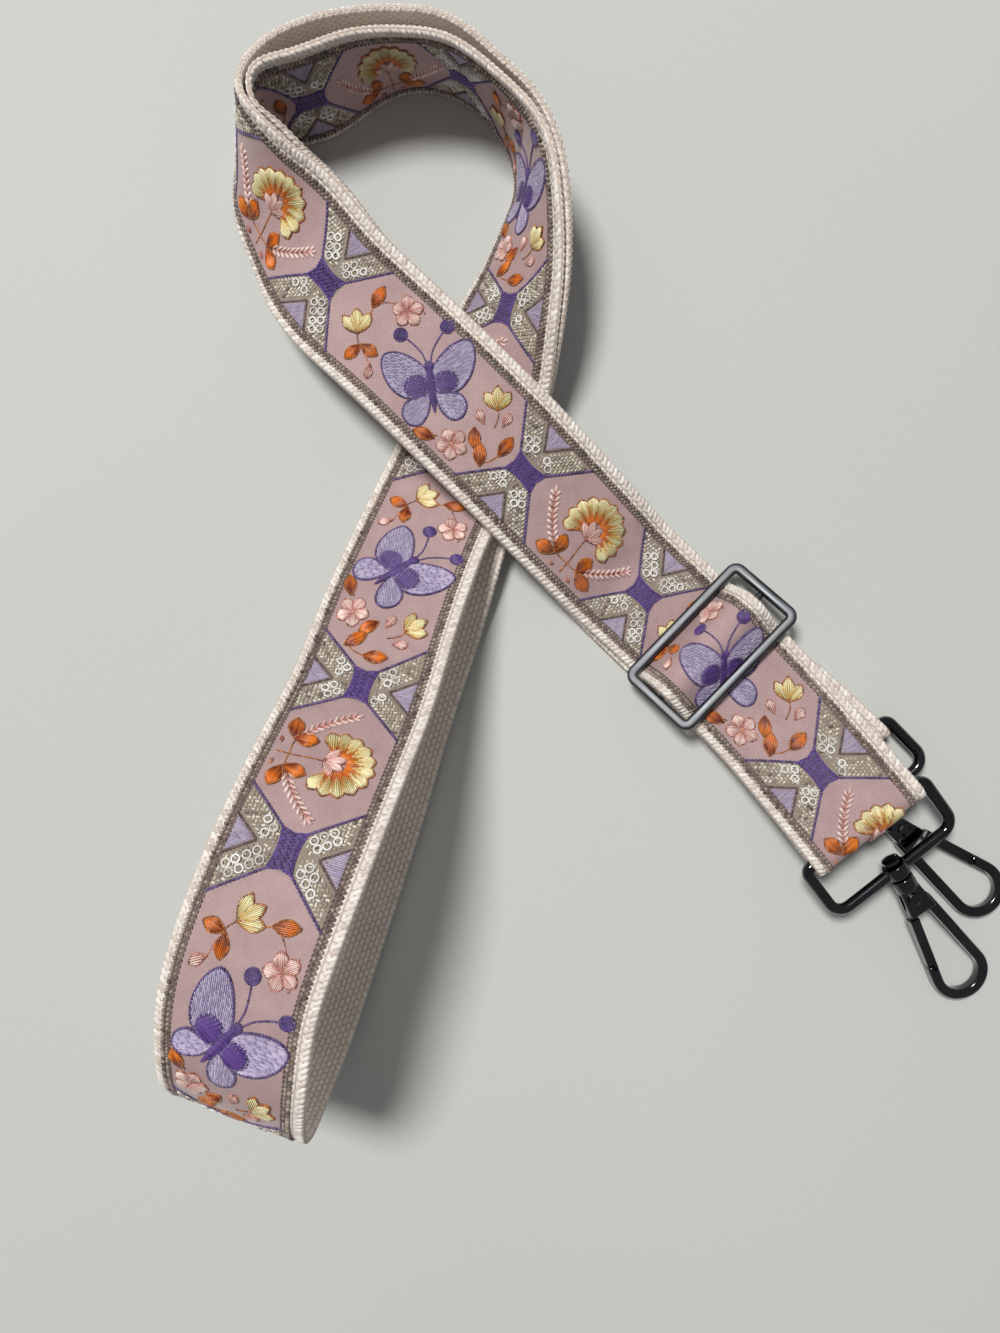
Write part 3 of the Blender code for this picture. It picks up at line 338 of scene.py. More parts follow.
def upper_strand():
    """From the slider's sewn end, round ring 1, through the slider: a list of stations."""
    bar = (0.0, SLIDER_Z)
    right_bar = (-BAR_REACH, RIGHT_BAR_Z)
    left_bar = (BAR_REACH, LEFT_BAR_Z)
    ring_1 = (-RING_1_DISTANCE, RING_1_Z)
    ring_2 = (-RING_2_DISTANCE, RING_2_Z)
    bar_wrap = CENTRE_BAR_RADIUS + WRAP
    under_bar = BAR_CORNER + WRAP
    rise = UPPER_RISE_SHARES[0]
    stops = [
        ((-SLIDER_TAIL, LEVEL_2), 0.0, 0),
        (right_bar, under_bar + PITCH, 1),
        (bar, bar_wrap, -1),
        (right_bar, under_bar + 2 * PITCH, -1),
        ((-SLIDER_TAIL - GAP, LEVEL_3), 0.0, 0),
        ((STEP_END, LEVEL_2 + GAP), 0.0, 0),
        (ring_2, OVER_RING_2, 1),
        (ring_1, RING_WRAP, -1),
        ((STEP_END, LEVEL_1 + GAP), 0.0, 0),
        (right_bar, under_bar, 1),
        (bar, bar_wrap + PITCH, -1),
        (left_bar, under_bar, 1),
        ((rise[0] * LOOP_REACH, LEVEL_3 + rise[1] * STRAP_WIDTH), 0.0, 0),
    ]
    return [strand(u, z, UPPER_DRIFT) for u, z in belt(stops)]


def lower_strand():
    """From the bow back to ring 2 and the end sewn round it."""
    stops = [
        ((LOWER_START_SHARE * LOOP_REACH, LEVEL_4), 0.0, 0),
        ((-RING_2_DISTANCE, RING_2_Z), RING_WRAP, -1),
        ((STEP_END - RING_TAIL_INSET, LEVEL_3), 0.0, 0),
    ]
    return [strand(u, z, LOWER_DRIFT) for u, z in belt(stops)]


def rising(shares, level, drift):
    """Knots of a straight strand that rises towards the crossing."""
    return [strand(at * LOOP_REACH, level + lift * STRAP_WIDTH, drift) for at, lift in shares]


def bow_knots():
    """Knots of the loop, the leg and the fold, between the two straight strands."""
    upper = rising(UPPER_RISE_SHARES, LEVEL_3 + SIDE_GAP, UPPER_DRIFT)[1:]
    outer = upper + lay_knots(ENTRY_SHARES + OUTER_TURN_SHARES + SIDE_SHARES
                              + LOWER_LAYER_SHARES)
    still = np.zeros(6)
    at, where = cubic_through(outer, still, still)

    def backing(first, count, gap):
        """Knots of the layer that lies on the back of the outer one."""
        knots = []
        for i in range(first, first + count):
            travel = Vector(at(where[i] + FINE_STEP)[:3] - at(where[i] - FINE_STEP)[:3])
            edge = Vector(outer[i][3:])
            face = edge.cross(travel).normalized()
            knots.append((*(Vector(outer[i][:3]) - face * (PITCH + gap)), *edge))
        return knots[::-1]

    entry = backing(len(upper), len(ENTRY_SHARES), ENTRY_GAP)
    turned = len(upper) + len(ENTRY_SHARES) + len(OUTER_TURN_SHARES)
    side = backing(turned, len(SIDE_SHARES), SIDE_GAP)
    lower = rising(LOWER_RISE_SHARES, LEVEL_4, LOWER_DRIFT)
    return (outer + lay_knots(FOLD_SHARES + UPPER_LAYER_SHARES) + side
            + lay_knots(INNER_TURN_SHARES)[::-1] + entry + lower[::-1])


def strap_stations():
    """The strap's middle line with its right edge: slider end, bow and ring 2 end."""
    before, after = upper_strand(), lower_strand()
    knots = [before[-1]] + bow_knots() + [after[0]]
    leave = (Vector(before[-1][:3]) - Vector(before[-2][:3])).normalized()
    join = (Vector(after[1][:3]) - Vector(after[0][:3])).normalized()
    still = (0.0, 0.0, 0.0)
    at, where = cubic_through(knots, (*leave, *still), (*join, *still))
    middle = [at(d) for d in np.arange(FINE_STEP, where[-1], FINE_STEP)]
    return before, middle, after


def dense(stations, drift):
    """Fill long straight runs of a strand, so that they follow its drift."""
    filled = [stations[0]]
    for one, two in zip(stations, stations[1:]):
        span = Vector(two[:3]) - Vector(one[:3])
        pieces = max(1, math.ceil(span.length / (2 * MM)))
        u1 = (Vector(one[:3]) - SLIDER_PLACE).dot(ALONG)
        u2 = (Vector(two[:3]) - SLIDER_PLACE).dot(ALONG)
        for i in range(1, pieces + 1):
            share = i / pieces
            filled.append(strand(u1 + (u2 - u1) * share, one[2] + (two[2] - one[2]) * share,
                                 drift))
    return filled


PATH_STEP = 0.25 * MM
SMOOTHING_REACH = 6


def strap_path():
    """Places, right-edge directions and face normals along the strap, and distances."""
    before, middle, after = strap_stations()
    rows = np.array(dense(before, UPPER_DRIFT) + middle + dense(after, LOWER_DRIFT))
    steps = np.linalg.norm(np.diff(rows[:, :3], axis=0), axis=1)
    keep = np.concatenate(([True], steps > 1e-6))
    rows = rows[keep]
    where = distances(rows[:, :3])
    fine = np.arange(0.0, where[-1], PATH_STEP)
    rows = np.stack([np.interp(fine, where, rows[:, i]) for i in range(6)], axis=1)
    reach = SMOOTHING_REACH
    weights = np.exp(-0.5 * (np.arange(-reach, reach + 1) / 2.0) ** 2)
    weights /= weights.sum()
    padded = np.concatenate((rows[:1] * 2 - rows[reach:0:-1],
                             rows, rows[-1:] * 2 - rows[-2:-2 - reach:-1]))
    rows = np.stack([np.convolve(padded[:, i], weights, "valid") for i in range(6)], axis=1)
    places, edges = rows[:, :3], rows[:, 3:]
    along = np.gradient(places, axis=0)
    along /= np.linalg.norm(along, axis=1)[:, None]
    edges = edges - along * np.sum(edges * along, axis=1)[:, None]
    edges /= np.linalg.norm(edges, axis=1)[:, None]
    return places, edges, np.cross(edges, along), fine


# The lay is shifted as a whole, so that the centre bar's place in it is that of the bar's solid

PLACES, EDGES, FACES, FINE = strap_path()
STRAP_LENGTH = FINE[-1]
LOW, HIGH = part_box("slider_centre_bar")
BAR_IN_LAY = SLIDER_PLACE + ACROSS * (UPPER_DRIFT(0.0) + SLIDER_SIDE_SHIFT)
BAR_IN_LAY.z = SLIDER_Z
SHIFT = (LOW + HIGH) / 2 - BAR_IN_LAY
PLACES = PLACES + np.array(SHIFT)
LEAST_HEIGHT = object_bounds()[0].z + 0.03 * MM

# How far the trim lies off the webbing's middle, in millimetres
TRIM_SHIFT = -0.7

# The strap is divided under the slider's bar into two stretches: the hook end towards the rings,
# the bow towards the loop

U_PLACES = (PLACES - np.array(SLIDER_PLACE + SHIFT)) @ np.array(ALONG)
PAST_BAR = np.flatnonzero(U_PLACES > BAR_REACH)
CUT_UPPER, CUT_LOWER = FINE[PAST_BAR[0]], FINE[PAST_BAR[-1]]
STRETCHES = {"hook_end": ((0.0, CUT_UPPER), (CUT_LOWER, STRAP_LENGTH)),
             "bow": ((CUT_UPPER, CUT_LOWER),)}


def in_stretch(stretch, s):
    """Whether distances along the strap, in millimetres, fall in a stretch."""
    return np.any([(s * MM >= low) & (s * MM < high) for low, high in STRETCHES[stretch]], axis=0)


def bend(thing, stretch):
    """Put a piece's placement into its mesh; both stretches are treated alike."""
    if stretch == "hook_end":
        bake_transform(thing)
        return
    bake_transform(thing)


def on_strap(s, t, h):
    """World points from distance along the strap, place across and height, in metres."""
    s = np.clip(np.asarray(s, float), 0.0, STRAP_LENGTH)
    mixed = [np.stack([np.interp(s, FINE, table[:, i]) for i in range(3)], axis=-1)
             for table in (PLACES, EDGES, FACES)]
    points = (mixed[0] + mixed[1] * np.asarray(t)[..., None]
              + mixed[2] * np.asarray(h)[..., None])
    points[..., 2] = np.maximum(points[..., 2], LEAST_HEIGHT)
    return points


def mesh_object(name, points, faces, material, attributes, uv=None):
    """A new smooth mesh object from arrays of points and lists of faces."""
    mesh = bpy.data.meshes.new(name)
    mesh.from_pydata(np.asarray(points).tolist(), [], faces)
    for key, values in attributes.items():
        layer = mesh.attributes.new(key, "FLOAT", "POINT")
        layer.data.foreach_set("value", np.asarray(values, dtype=np.float32))
    if uv is not None:
        layer = mesh.uv_layers.new(name="along")
        loops = np.empty(len(mesh.loops), dtype=np.int32)
        mesh.loops.foreach_get("vertex_index", loops)
        layer.data.foreach_set("uv", np.asarray(uv, dtype=np.float32)[loops].ravel())
    mesh.polygons.foreach_set("use_smooth", np.ones(len(mesh.polygons), dtype=bool))
    mesh.materials.append(material)
    mesh.update()
    thing = bpy.data.objects.new(name, mesh)
    bpy.context.scene.collection.objects.link(thing)
    return thing


# Materials


class Shader:
    """A node-based material under construction."""

    def __init__(self, name, **sockets):
        self.material = bpy.data.materials.new(name)
        self.material.use_nodes = True
        self.tree = self.material.node_tree
        self.surface = self.tree.nodes["Principled BSDF"]
        for key, value in sockets.items():
            self.surface.inputs[key.replace("_", " ")].default_value = value

    def node(self, kind, inputs=(), **settings):
        made = self.tree.nodes.new(kind)
        for key, value in settings.items():
            setattr(made, key, value)
        for slot, value in dict(inputs).items():
            self.put(made.inputs[slot], value)
        return made

    def put(self, socket, value):
        if isinstance(value, bpy.types.NodeSocket):
            self.tree.links.new(value, socket)
        elif isinstance(value, bpy.types.Node):
            self.tree.links.new(value.outputs[0], socket)
        else:
            socket.default_value = value

    def math(self, operation, first, second=0.0, third=0.0):
        made = self.node("ShaderNodeMath", operation=operation)
        for i, value in enumerate((first, second, third)):
            self.put(made.inputs[i], value)
        return made.outputs[0]

    def noise(self, where, scale, detail):
        return self.node("ShaderNodeTexNoise", {"Vector": where, "Scale": scale,
                                                "Detail": detail, "Roughness": 0.55}).outputs[0]

    def weighted(self, *terms):
        """Sum of values, each times its weight."""
        total = 0.0
        for value, weight in terms[::-1]:
            total = self.math("MULTIPLY_ADD", value, weight, total)
        return total

    def ramp(self, value, *stops):
        made = self.node("ShaderNodeValToRGB", {0: value})
        elements = made.color_ramp.elements
        while len(elements) < len(stops):
            elements.new(0.5)
        for element, (place, code) in zip(elements, stops):
            element.position, element.color = place, colour(code)
        return made.outputs[0]

    def paint(self, value):
        self.put(self.surface.inputs["Base Color"], value)

    def mix(self, share, first, second):
        made = self.node("ShaderNodeMix", data_type="RGBA")
        for i, value in ((0, share), (6, first), (7, second)):
            self.put(made.inputs[i], value)
        return made.outputs[2]

    def bump(self, height, strength, distance):
        made = self.node("ShaderNodeBump", {"Strength": strength, "Distance": distance,
                                            "Height": height})
        self.put(self.surface.inputs["Normal"], made)

    def object_place(self):
        return self.node("ShaderNodeTexCoord").outputs["Object"]

    def attribute(self, name):
        return self.node("ShaderNodeAttribute", attribute_name=name).outputs["Fac"]

    def place_on_strap(self):
        """Distance along the strap and place across it, in millimetres."""
        uv = self.node("ShaderNodeUVMap", uv_map="along")
        return self.node("ShaderNodeSeparateXYZ", {0: uv.outputs[0]}).outputs[:2]


def colour(code):
    """Linear colour from a hex code."""
    parts = [int(code[i:i + 2], 16) / 255 for i in (0, 2, 4)]
    return (*[p / 12.92 if p <= 0.04045 else ((p + 0.055) / 1.055) ** 2.4 for p in parts], 1.0)


def yarn(name, dark, light, roughness, sheen=0.3):
    """Embroidery thread: its tone changes from stitch to stitch and along each stitch."""
    made = Shader(name, Roughness=roughness, Sheen_Weight=sheen, Sheen_Roughness=0.5)
    where = made.object_place()
    fine = made.noise(where, 2600.0, 2.0)
    broad = made.noise(where, 180.0, 2.0)
    value = made.weighted((made.attribute("tone"), 0.55), (fine, 0.3), (broad, 0.3))
    made.paint(made.ramp(value, (0.2, dark), (0.85, light)))
    made.bump(fine, 0.35, 0.12 * MM)
    return made.material


def metal(name, dark, light, roughness, scratches=0.05, coat=0.0):
    """Plated metal with faint wear in its gloss."""
    made = Shader(name, Metallic=1.0, Coat_Weight=coat, Coat_Roughness=0.08)
    where = made.object_place()
    broad = made.noise(where, 90.0, 4.0)
    fine = made.noise(where, 1500.0, 3.0)
    made.paint(made.ramp(broad, (0.3, dark), (0.7, light)))
    made.put(made.surface.inputs["Roughness"],
             made.math("MULTIPLY_ADD", broad, roughness, 0.45 * roughness))
    made.bump(fine, scratches, 0.03 * MM)
    return made.material


def cotton_webbing():
    """Twill-woven cotton: staggered grains on the back."""
    made = Shader("cotton_webbing", Roughness=0.85, Sheen_Weight=0.35, Sheen_Roughness=0.6)
    s, t = made.place_on_strap()
    row = made.math("DIVIDE", t, 1.35)
    parity = made.math("MULTIPLY", made.math("FLOOR", row), 0.5)
    run = made.math("ADD", made.math("DIVIDE", s, 2.3), parity)
    humps = [made.math("SINE", made.math("MULTIPLY", made.math("FRACT", value), math.pi))
             for value in (row, run)]
    weave_and_shade = made.math("MULTIPLY", *(made.math("POWER", hump, 0.6) for hump in humps))
    where = made.object_place()
    fluff = made.noise(where, 2200.0, 3.0)
    broad = made.noise(where, 120.0, 3.0)
    # The colour follows the weave: the hollows between the grains are painted darker and browner
    # over the cloth's cream, a painted shade with warm bounce light, while the same grains also
    # drive the bump
    value = made.weighted((weave_and_shade, 0.55), (fluff, 0.3), (broad, 0.25))
    made.paint(made.ramp(value, (0.1, "AF9482"), (0.45, "E0D0C2"), (0.85, "F8F1E9")))
    made.bump(made.math("MULTIPLY_ADD", fluff, 0.3, weave_and_shade), 0.9, 0.45 * MM)
    return made.material


def trim_ground():
    """Net ground: zone 0 is the mauve of the cells, 1 the beige of the bands, 2 the border."""
    made = Shader("trim_ground", Roughness=0.7, Sheen_Weight=0.3, Sheen_Roughness=0.4)
    s, t = made.place_on_strap()
    diagonals = [made.math("SINE", made.math("MULTIPLY", made.math(way, s, t), 9.0))
                 for way in ("ADD", "SUBTRACT")]
    net = made.math("MAXIMUM", *diagonals)
    where = made.object_place()
    fluff = made.noise(where, 1800.0, 3.0)
    broad = made.noise(where, 150.0, 3.0)
    value = made.weighted((net, 0.16), (fluff, 0.35), (broad, 0.45))
    mauve, beige, brown = (made.ramp(value, (0.15, dark), (0.75, light)) for dark, light in (
        ("9E8082", "CAADAB"), ("786B5F", "AC9E8F"), ("4E3D3A", "857168")))
    zone = made.attribute("zone")
    first = made.mix(made.math("MINIMUM", zone, 1.0), mauve, beige)
    made.paint(made.mix(made.math("MAXIMUM", made.math("SUBTRACT", zone, 1.0), 0.0), first, brown))
    made.bump(made.math("MULTIPLY_ADD", fluff, 0.6, net), 0.35, 0.1 * MM)
    return made.material


WEBBING = cotton_webbing()
GROUND = trim_ground()
YARNS = {
    "cream": yarn("cotton_selvage", "CCBBAF", "FBF5EE", 0.8, 0.4),
    "purple": yarn("purple_thread", "351D5C", "6D4A9C", 0.45),
    "plum": yarn("plum_outline_thread", "2E1C49", "6E5690", 0.5),
    "lilac": yarn("lilac_thread", "8A7CA6", "D3C8E2", 0.42, 0.4),
    "pale_lilac": yarn("pale_lilac_thread", "9587A6", "C3B6CE", 0.5),
    "taupe": yarn("taupe_border_thread", "3E2E2A", "B3A194", 0.5),
    "brown": yarn("brown_outline_thread", "3C2A2B", "7A6461", 0.55),
    "silver": yarn("silver_loop_thread", "93876F", "F0E9DB", 0.32, 0.2),
    "sequin": yarn("white_ring_thread", "C9C3BC", "FDFBF8", 0.3, 0.2),
    "yellow": yarn("yellow_thread", "C9A94C", "FAF3C6", 0.38),
    "amber": yarn("amber_thread", "4C210C", "C97A30", 0.42),
    "orange": yarn("orange_thread", "7E2605", "F0851E", 0.36),
    "pink": yarn("pink_thread", "C98579", "FBE3DC", 0.38),
    "rose": yarn("rose_outline_thread", "6E3022", "D2917C", 0.45),
}

# Stitches, drawn flat in the repeat's own millimetres and then bent onto the strap


class Stitches:
    """Pieces of one colour, as points (p, t, h) in millimetres."""

    def __init__(self):
        self.points, self.faces, self.tones, self.count = [], [], [], 0

    def add(self, points, faces, tone):
        points = np.asarray(points, float)
        self.points.append(points)
        self.faces.extend([tuple(i + self.count for i in face) for face in faces])
        self.tones.append(np.broadcast_to(tone, len(points)).astype(float))
        self.count += len(points)


DICE = np.random.RandomState(7)
REPEAT = {name: Stitches() for name in YARNS}
THREAD_SHARES = np.array((0.0, 0.16, 0.84, 1.0))
THREAD_PROFILE = np.array((0.25, 1.0, 1.0, 0.25))
STITCH_OVERLAP = 1.25


def on_line(path, where, at):
    """Points of a flat line at given distances along it."""
    return np.stack([np.interp(at, where, path[:, i]) for i in range(2)], axis=-1)


def thread(kind, path, width, low, high, shade=0.0):
    """One raised stitch along a line, rounded across and drawn down at both ends.

    shade darkens it towards its start and lightens it towards its end.
    """
    path = np.asarray(path, float)
    where = distances(path)
    if where[-1] < 0.15:
        return
    line = on_line(path, where, THREAD_SHARES * where[-1])
    along = np.gradient(line, axis=0)
    along /= np.linalg.norm(along, axis=1)[:, None] + 1e-9
    side = np.stack((-along[:, 1], along[:, 0]), axis=1)
    points = []
    for middle, aside, swell in zip(line, side, THREAD_PROFILE):
        spread = aside * (width / 2 * (0.6 + 0.4 * swell))
        points += [(*(middle - spread), low), (*middle, low + (high - low) * swell),
                   (*(middle + spread), low)]
    count = len(line)
    faces = [(0, 1, 2), (3 * count - 1, 3 * count - 2, 3 * count - 3)]
    for i in range(count - 1):
        a, b = 3 * i, 3 * (i + 1)
        faces += [(a, b, b + 1, a + 1), (a + 1, b + 1, b + 2, a + 2), (a + 2, b + 2, b, a)]
    tone = 0.2 + 0.6 * DICE.rand() + shade * (2 * np.repeat(THREAD_SHARES, 3) - 1)
    REPEAT[kind].add(points, faces, tone)


def turned(points, degrees):
    """Points turned about the origin."""
    c, s = math.cos(math.radians(degrees)), math.sin(math.radians(degrees))
    points = np.asarray(points, float)
    return np.stack((points[..., 0] * c - points[..., 1] * s,
                     points[..., 0] * s + points[..., 1] * c), axis=-1)


def ray(length, degrees):
    """A step of some length in a direction."""
    return turned((length, 0.0), degrees)


def fill(kind, outline, degrees, pitch, piece, low, high, swell=0.0, shade=0.0):
    """Satin stitches side by side inside an outline, running at an angle to the strap."""
    shape = turned(outline, -degrees)
    low_y, high_y = shape[:, 1].min(), shape[:, 1].max()
    rows = max(1, int(round((high_y - low_y) / pitch)))
    for row in range(rows):
        y = low_y + (row + 0.5) * (high_y - low_y) / rows
        cuts = []
        for (x1, y1), (x2, y2) in zip(shape, np.roll(shape, -1, axis=0)):
            if (y1 <= y) != (y2 <= y):
                cuts.append(x1 + (x2 - x1) * (y - y1) / (y2 - y1))
        cuts.sort()
        for start, end in zip(cuts[::2], cuts[1::2]):
            if end - start < 0.25:
                continue
            share = (row + 0.5) / rows
            raised = high + swell * math.sin(math.pi * share)
            marks = [start]
            if end - start > 1.4 * piece:
                x = start + piece * (0.35 + 0.65 * ((row * 0.382) % 1.0))
                while x < end - 0.35 * piece:
                    marks.append(x)
                    x += piece
            marks.append(end)
            for a, b in zip(marks, marks[1:]):
                wobble = 0.06 * (DICE.rand(2) - 0.5)
                line = turned(((a - 0.08, y + wobble[0]), (b + 0.08, y + wobble[1])), degrees)
                thread(kind, line, pitch * STITCH_OVERLAP, low, raised + 0.06 * DICE.rand(),
                       shade)


def grain(kind, place, degrees, length, width, low, high, store=None, under=False):
    """A short rounded stitch: six corners below and a ridge of two.

    under turns it over, so that it hangs from the strap's back.
    """
    ring = np.array([(0.5, 0.0), (0.22, 0.5), (-0.22, 0.5), (-0.5, 0.0), (-0.22, -0.5),
                     (0.22, -0.5)]) * (length, width)
    ridge = np.array([(0.2, 0.0), (-0.2, 0.0)]) * (length, width)
    shoulder = ring * 0.78
    flat = turned(np.concatenate((ring, shoulder, ridge)), degrees) + np.asarray(place)
    heights = [low] * 6 + [low + (high - low) * 0.72] * 6 + [high] * 2
    faces = [(5, 4, 3, 2, 1, 0)]
    faces += [(i, (i + 1) % 6, 6 + (i + 1) % 6, 6 + i) for i in range(6)]
    faces += [(6, 7, 12), (7, 8, 13, 12), (8, 9, 13), (9, 10, 13), (10, 11, 12, 13), (11, 6, 12)]
    points = np.column_stack((flat, heights))
    if under:
        points[:, 2] = -points[:, 2] - 0.05
        faces = [face[::-1] for face in faces]
    (store or REPEAT[kind]).add(points, faces, DICE.rand())


def cord(kind, path, width, low, high, pitch, slant, closed=False):
    """A twisted outline cord, as slanted grains along a line."""
    path = np.asarray(path, float)
    if closed:
        path = np.concatenate((path, path[:1]))
    where = distances(path)
    count = max(2, int(round(where[-1] / pitch)))
    for i in range(count):
        at = (i + 0.5) * where[-1] / count
        behind, place, ahead = on_line(path, where, (max(at - 0.2, 0.0), at,
                                                     min(at + 0.2, where[-1])))
        heading = math.degrees(math.atan2(*(ahead - behind)[::-1]))
        grain(kind, place, heading + slant, where[-1] / count * 1.5, width, low, high)


def ring_stitch(kind, place, radius, wire, height):
    """A small ring lying on the ground."""
    around, tube = 12, 5
    points, faces = [], []
    for i in range(around):
        a = 2 * math.pi * i / around
        for j in range(tube):
            b = 2 * math.pi * j / tube
            r = radius + wire * math.cos(b)
            points.append((place[0] + r * math.cos(a), place[1] + r * math.sin(a),
                           height + wire * math.sin(b)))
    for i in range(around):
        for j in range(tube):
            faces.append((i * tube + j, (i + 1) % around * tube + j,
                          (i + 1) % around * tube + (j + 1) % tube, i * tube + (j + 1) % tube))
    REPEAT[kind].add(points, faces, DICE.rand())


def smooth_loop(points, steps=5, closed=True):
    """Rounded line through points."""
    points = np.asarray(points, float)
    n = len(points)
    made = []
    for i in range(n if closed else n - 1):
        around = [(i + k) % n if closed else min(max(i + k, 0), n - 1) for k in (-1, 0, 1, 2)]
        p0, p1, p2, p3 = points[around]
        for j in range(steps):
            x = j / steps
            made.append(0.5 * (2 * p1 + (p2 - p0) * x + (2 * p0 - 5 * p1 + 4 * p2 - p3) * x * x
                               + (3 * p1 - p0 - 3 * p2 + p3) * x ** 3))
    if not closed:
        made.append(points[-1])
    return np.array(made)


def petal_shape(base, degrees, length, width, fullness, steps=12):
    """Outline of a petal: its base, its direction, its length and its greatest width."""
    along = np.concatenate((np.linspace(0, 1, steps), np.linspace(1, 0, steps)[1:-1]))
    side = np.concatenate((np.ones(steps), -np.ones(steps - 2)))
    power = math.log(0.5) / math.log(fullness)
    spread = np.sin(math.pi * along ** power) ** 0.8
    return turned(np.stack((along * length, side * spread * width / 2), axis=1),
                  degrees) + np.asarray(base)


def petal(kind, base, degrees, length, width, low, high, edge=None, fullness=0.62,
          pitch=0.42, shade=0.25):
    """A satin petal with an optional outline of another colour."""
    shape = petal_shape(base, degrees, length, width, fullness)
    fill(kind, shape, degrees + 4.0, pitch, 40.0, low, high, 0.25, shade=shade)
    if edge:
        cord(edge, shape, 0.42, low, high - 0.08, 0.8, 10.0, True)


# The repeat: a short block, the long cell, another block and the short cell

REPEAT_LENGTH = 128.5
BLOCKS = (0.0, 78.5)
BORDER = 14.2
GROUND_TOP = 0.6
FOOT = GROUND_TOP - 0.05


def mirrored(points, flip_p, flip_t):
    """Points mirrored along or across the strap."""
    points = np.asarray(points, float)
    return points * (-1 if flip_p else 1, -1 if flip_t else 1)


def block(p, counts):
    """The satin block with its four looped bands and two triangles."""
    here = np.array((p, 0.0))
    patch = here + ((4.9, 3.1), (2.2, 2.6), (0.0, 2.45), (-2.2, 2.6), (-4.9, 3.1), (-4.1, 0.0),
                    (-4.9, -3.1), (-2.2, -2.6), (0.0, -2.45), (2.2, -2.6), (4.9, -3.1),
                    (4.1, 0.0))
    fill("purple", patch, 90.0, 0.46, 1.9, 0.55, 1.02)
    cord("purple", patch, 0.6, 0.55, 1.0, 0.9, 15.0, True)
    band = np.array(((0.6, 3.4), (4.6, 3.4), (12.6, 13.4), (5.6, 13.4), (0.6, 7.0)))
    rings = ((3.9, 5.0), (2.2, 6.4), (5.4, 6.9), (3.7, 8.3), (7.0, 8.8), (5.3, 10.2),
             (8.5, 10.7), (6.8, 12.1))
    for flip_p in (False, True):
        for flip_t in (False, True):
            outline = mirrored(band, flip_p, flip_t)
            heading = math.degrees(math.atan2(10.0, 8.0)) * (-1 if flip_p != flip_t else 1)
            loops(outline + here, heading)
            for place in rings[:counts[2 * flip_p + flip_t]]:
                spot = mirrored(place, flip_p, flip_t) + here
                ring_stitch("sequin", spot + 0.2 * (DICE.rand(2) - 0.5), 0.94, 0.26, 1.04)
            edge = mirrored(((4.9, 3.1), (13.7, BORDER)), flip_p, flip_t) + here
            cord("plum", edge, 0.75, 0.5, 1.02, 1.0, 20.0)
    for flip_t in (False, True):
        heart = mirrored(((0.0, 8.3), (-4.5, 14.0), (4.3, 14.0)), False, flip_t) + here
        fill("pale_lilac", heart, 90.0, 0.5, 3.2, 0.5, 0.86)
        frame_line = mirrored(((-5.2, 14.3), (0.0, 7.6), (5.0, 14.3)), False, flip_t) + here
        cord("brown", frame_line, 0.7, 0.5, 0.98, 0.95, 20.0)


def inside(shape, place):
    """Whether a place lies inside an outline."""
    hit = False
    for (x1, y1), (x2, y2) in zip(shape, np.roll(shape, -1, axis=0)):
        if (y1 <= place[1]) != (y2 <= place[1]):
            if place[0] < x1 + (x2 - x1) * (place[1] - y1) / (y2 - y1):
                hit = not hit
    return hit


def loops(shape, heading):
    """Rows of small silvery loops inside a band."""
    local = turned(shape, -heading)
    lo, hi = local.min(0), local.max(0)
    row = 0
    y = lo[1] + 0.5
    while y < hi[1]:
        x = lo[0] + 0.3 + 0.6 * (row % 2)
        while x < hi[0]:
            if inside(local, (x, y)):
                place = turned(((x, y),), heading)[0]
                tilt = 46.0 if row % 2 else -46.0
                kind = "silver" if DICE.rand() < 0.86 else "taupe"
                grain(kind, place + 0.12 * (DICE.rand(2) - 0.5), heading + tilt
                      + 22.0 * (DICE.rand() - 0.5), 1.5, 0.62, FOOT,
                      0.9 + 0.16 * DICE.rand())
            x += 1.2
        y += 0.88
        row += 1


SPRIG_LEAF = 2.1
SPRIG_PITCH = 1.6


def sprig(path):
    """A stem with short leaves in pairs."""
    line = smooth_loop(path, 6, False)
    cord("rose", line, 0.4, FOOT, 0.86, 0.9, 8.0)
    where = distances(line)
    at = 0.8
    while at < where[-1] + 0.2:
        place, back = on_line(line, where, (at, at - 0.4))
        heading = math.degrees(math.atan2(*(place - back)[::-1]))
        for side in (-1, 1):
            thread("pink", (place, place + ray(SPRIG_LEAF, heading + 42.0 * side)), 1.05, FOOT,
                   1.2 + 0.08 * DICE.rand(), shade=0.5)
        at += SPRIG_PITCH
    tip = line[-1]
    heading = math.degrees(math.atan2(*(line[-1] - line[-3])[::-1]))
    thread("pink", (tip, tip + ray(SPRIG_LEAF, heading)), 1.05, FOOT, 1.2)


def stem(path, kind="amber"):
    """A thin curved stem."""
    cord(kind, smooth_loop(path, 6, False), 0.42, FOOT, 0.88, 0.95, 8.0)


def leaf_pair(base, heading, length, width, spread):
    """Two orange leaves from one point."""
    for side in (-1, 1):
        petal("orange", base, heading + side * spread, length, width, FOOT, 1.2, "amber", 0.56,
              shade=0.8)


def bud(base, heading, length=6.6, width=3.2):
    """A bud of three petals."""
    for side in (-1, 1):
        petal("yellow", base, heading + side * 36.0, length, width, FOOT, 1.2, "amber", 0.58,
              shade=0.55)
    petal("yellow", base, heading, length * 1.08, width, FOOT, 1.35, "amber", 0.6, shade=0.55)


def blossom(centre, radius, turn):
    """A small blossom of five petals."""
    for i in range(5):
        petal("pink", centre, turn + 72.0 * i, radius, radius * 0.72, FOOT, 1.2, "rose", 0.62,
              shade=0.5)
    grain("rose", centre, turn, 1.1, 1.0, 0.9, 1.25)


def single_leaf(base, heading, length, width):
    """A single orange leaf."""
    petal("orange", base, heading, length, width, FOOT, 1.2, "amber", 0.52, shade=0.8)


def cell_places(p):
    """A function that gives places in the cell that starts at p."""
    return lambda x, y: np.array((p + x, y))


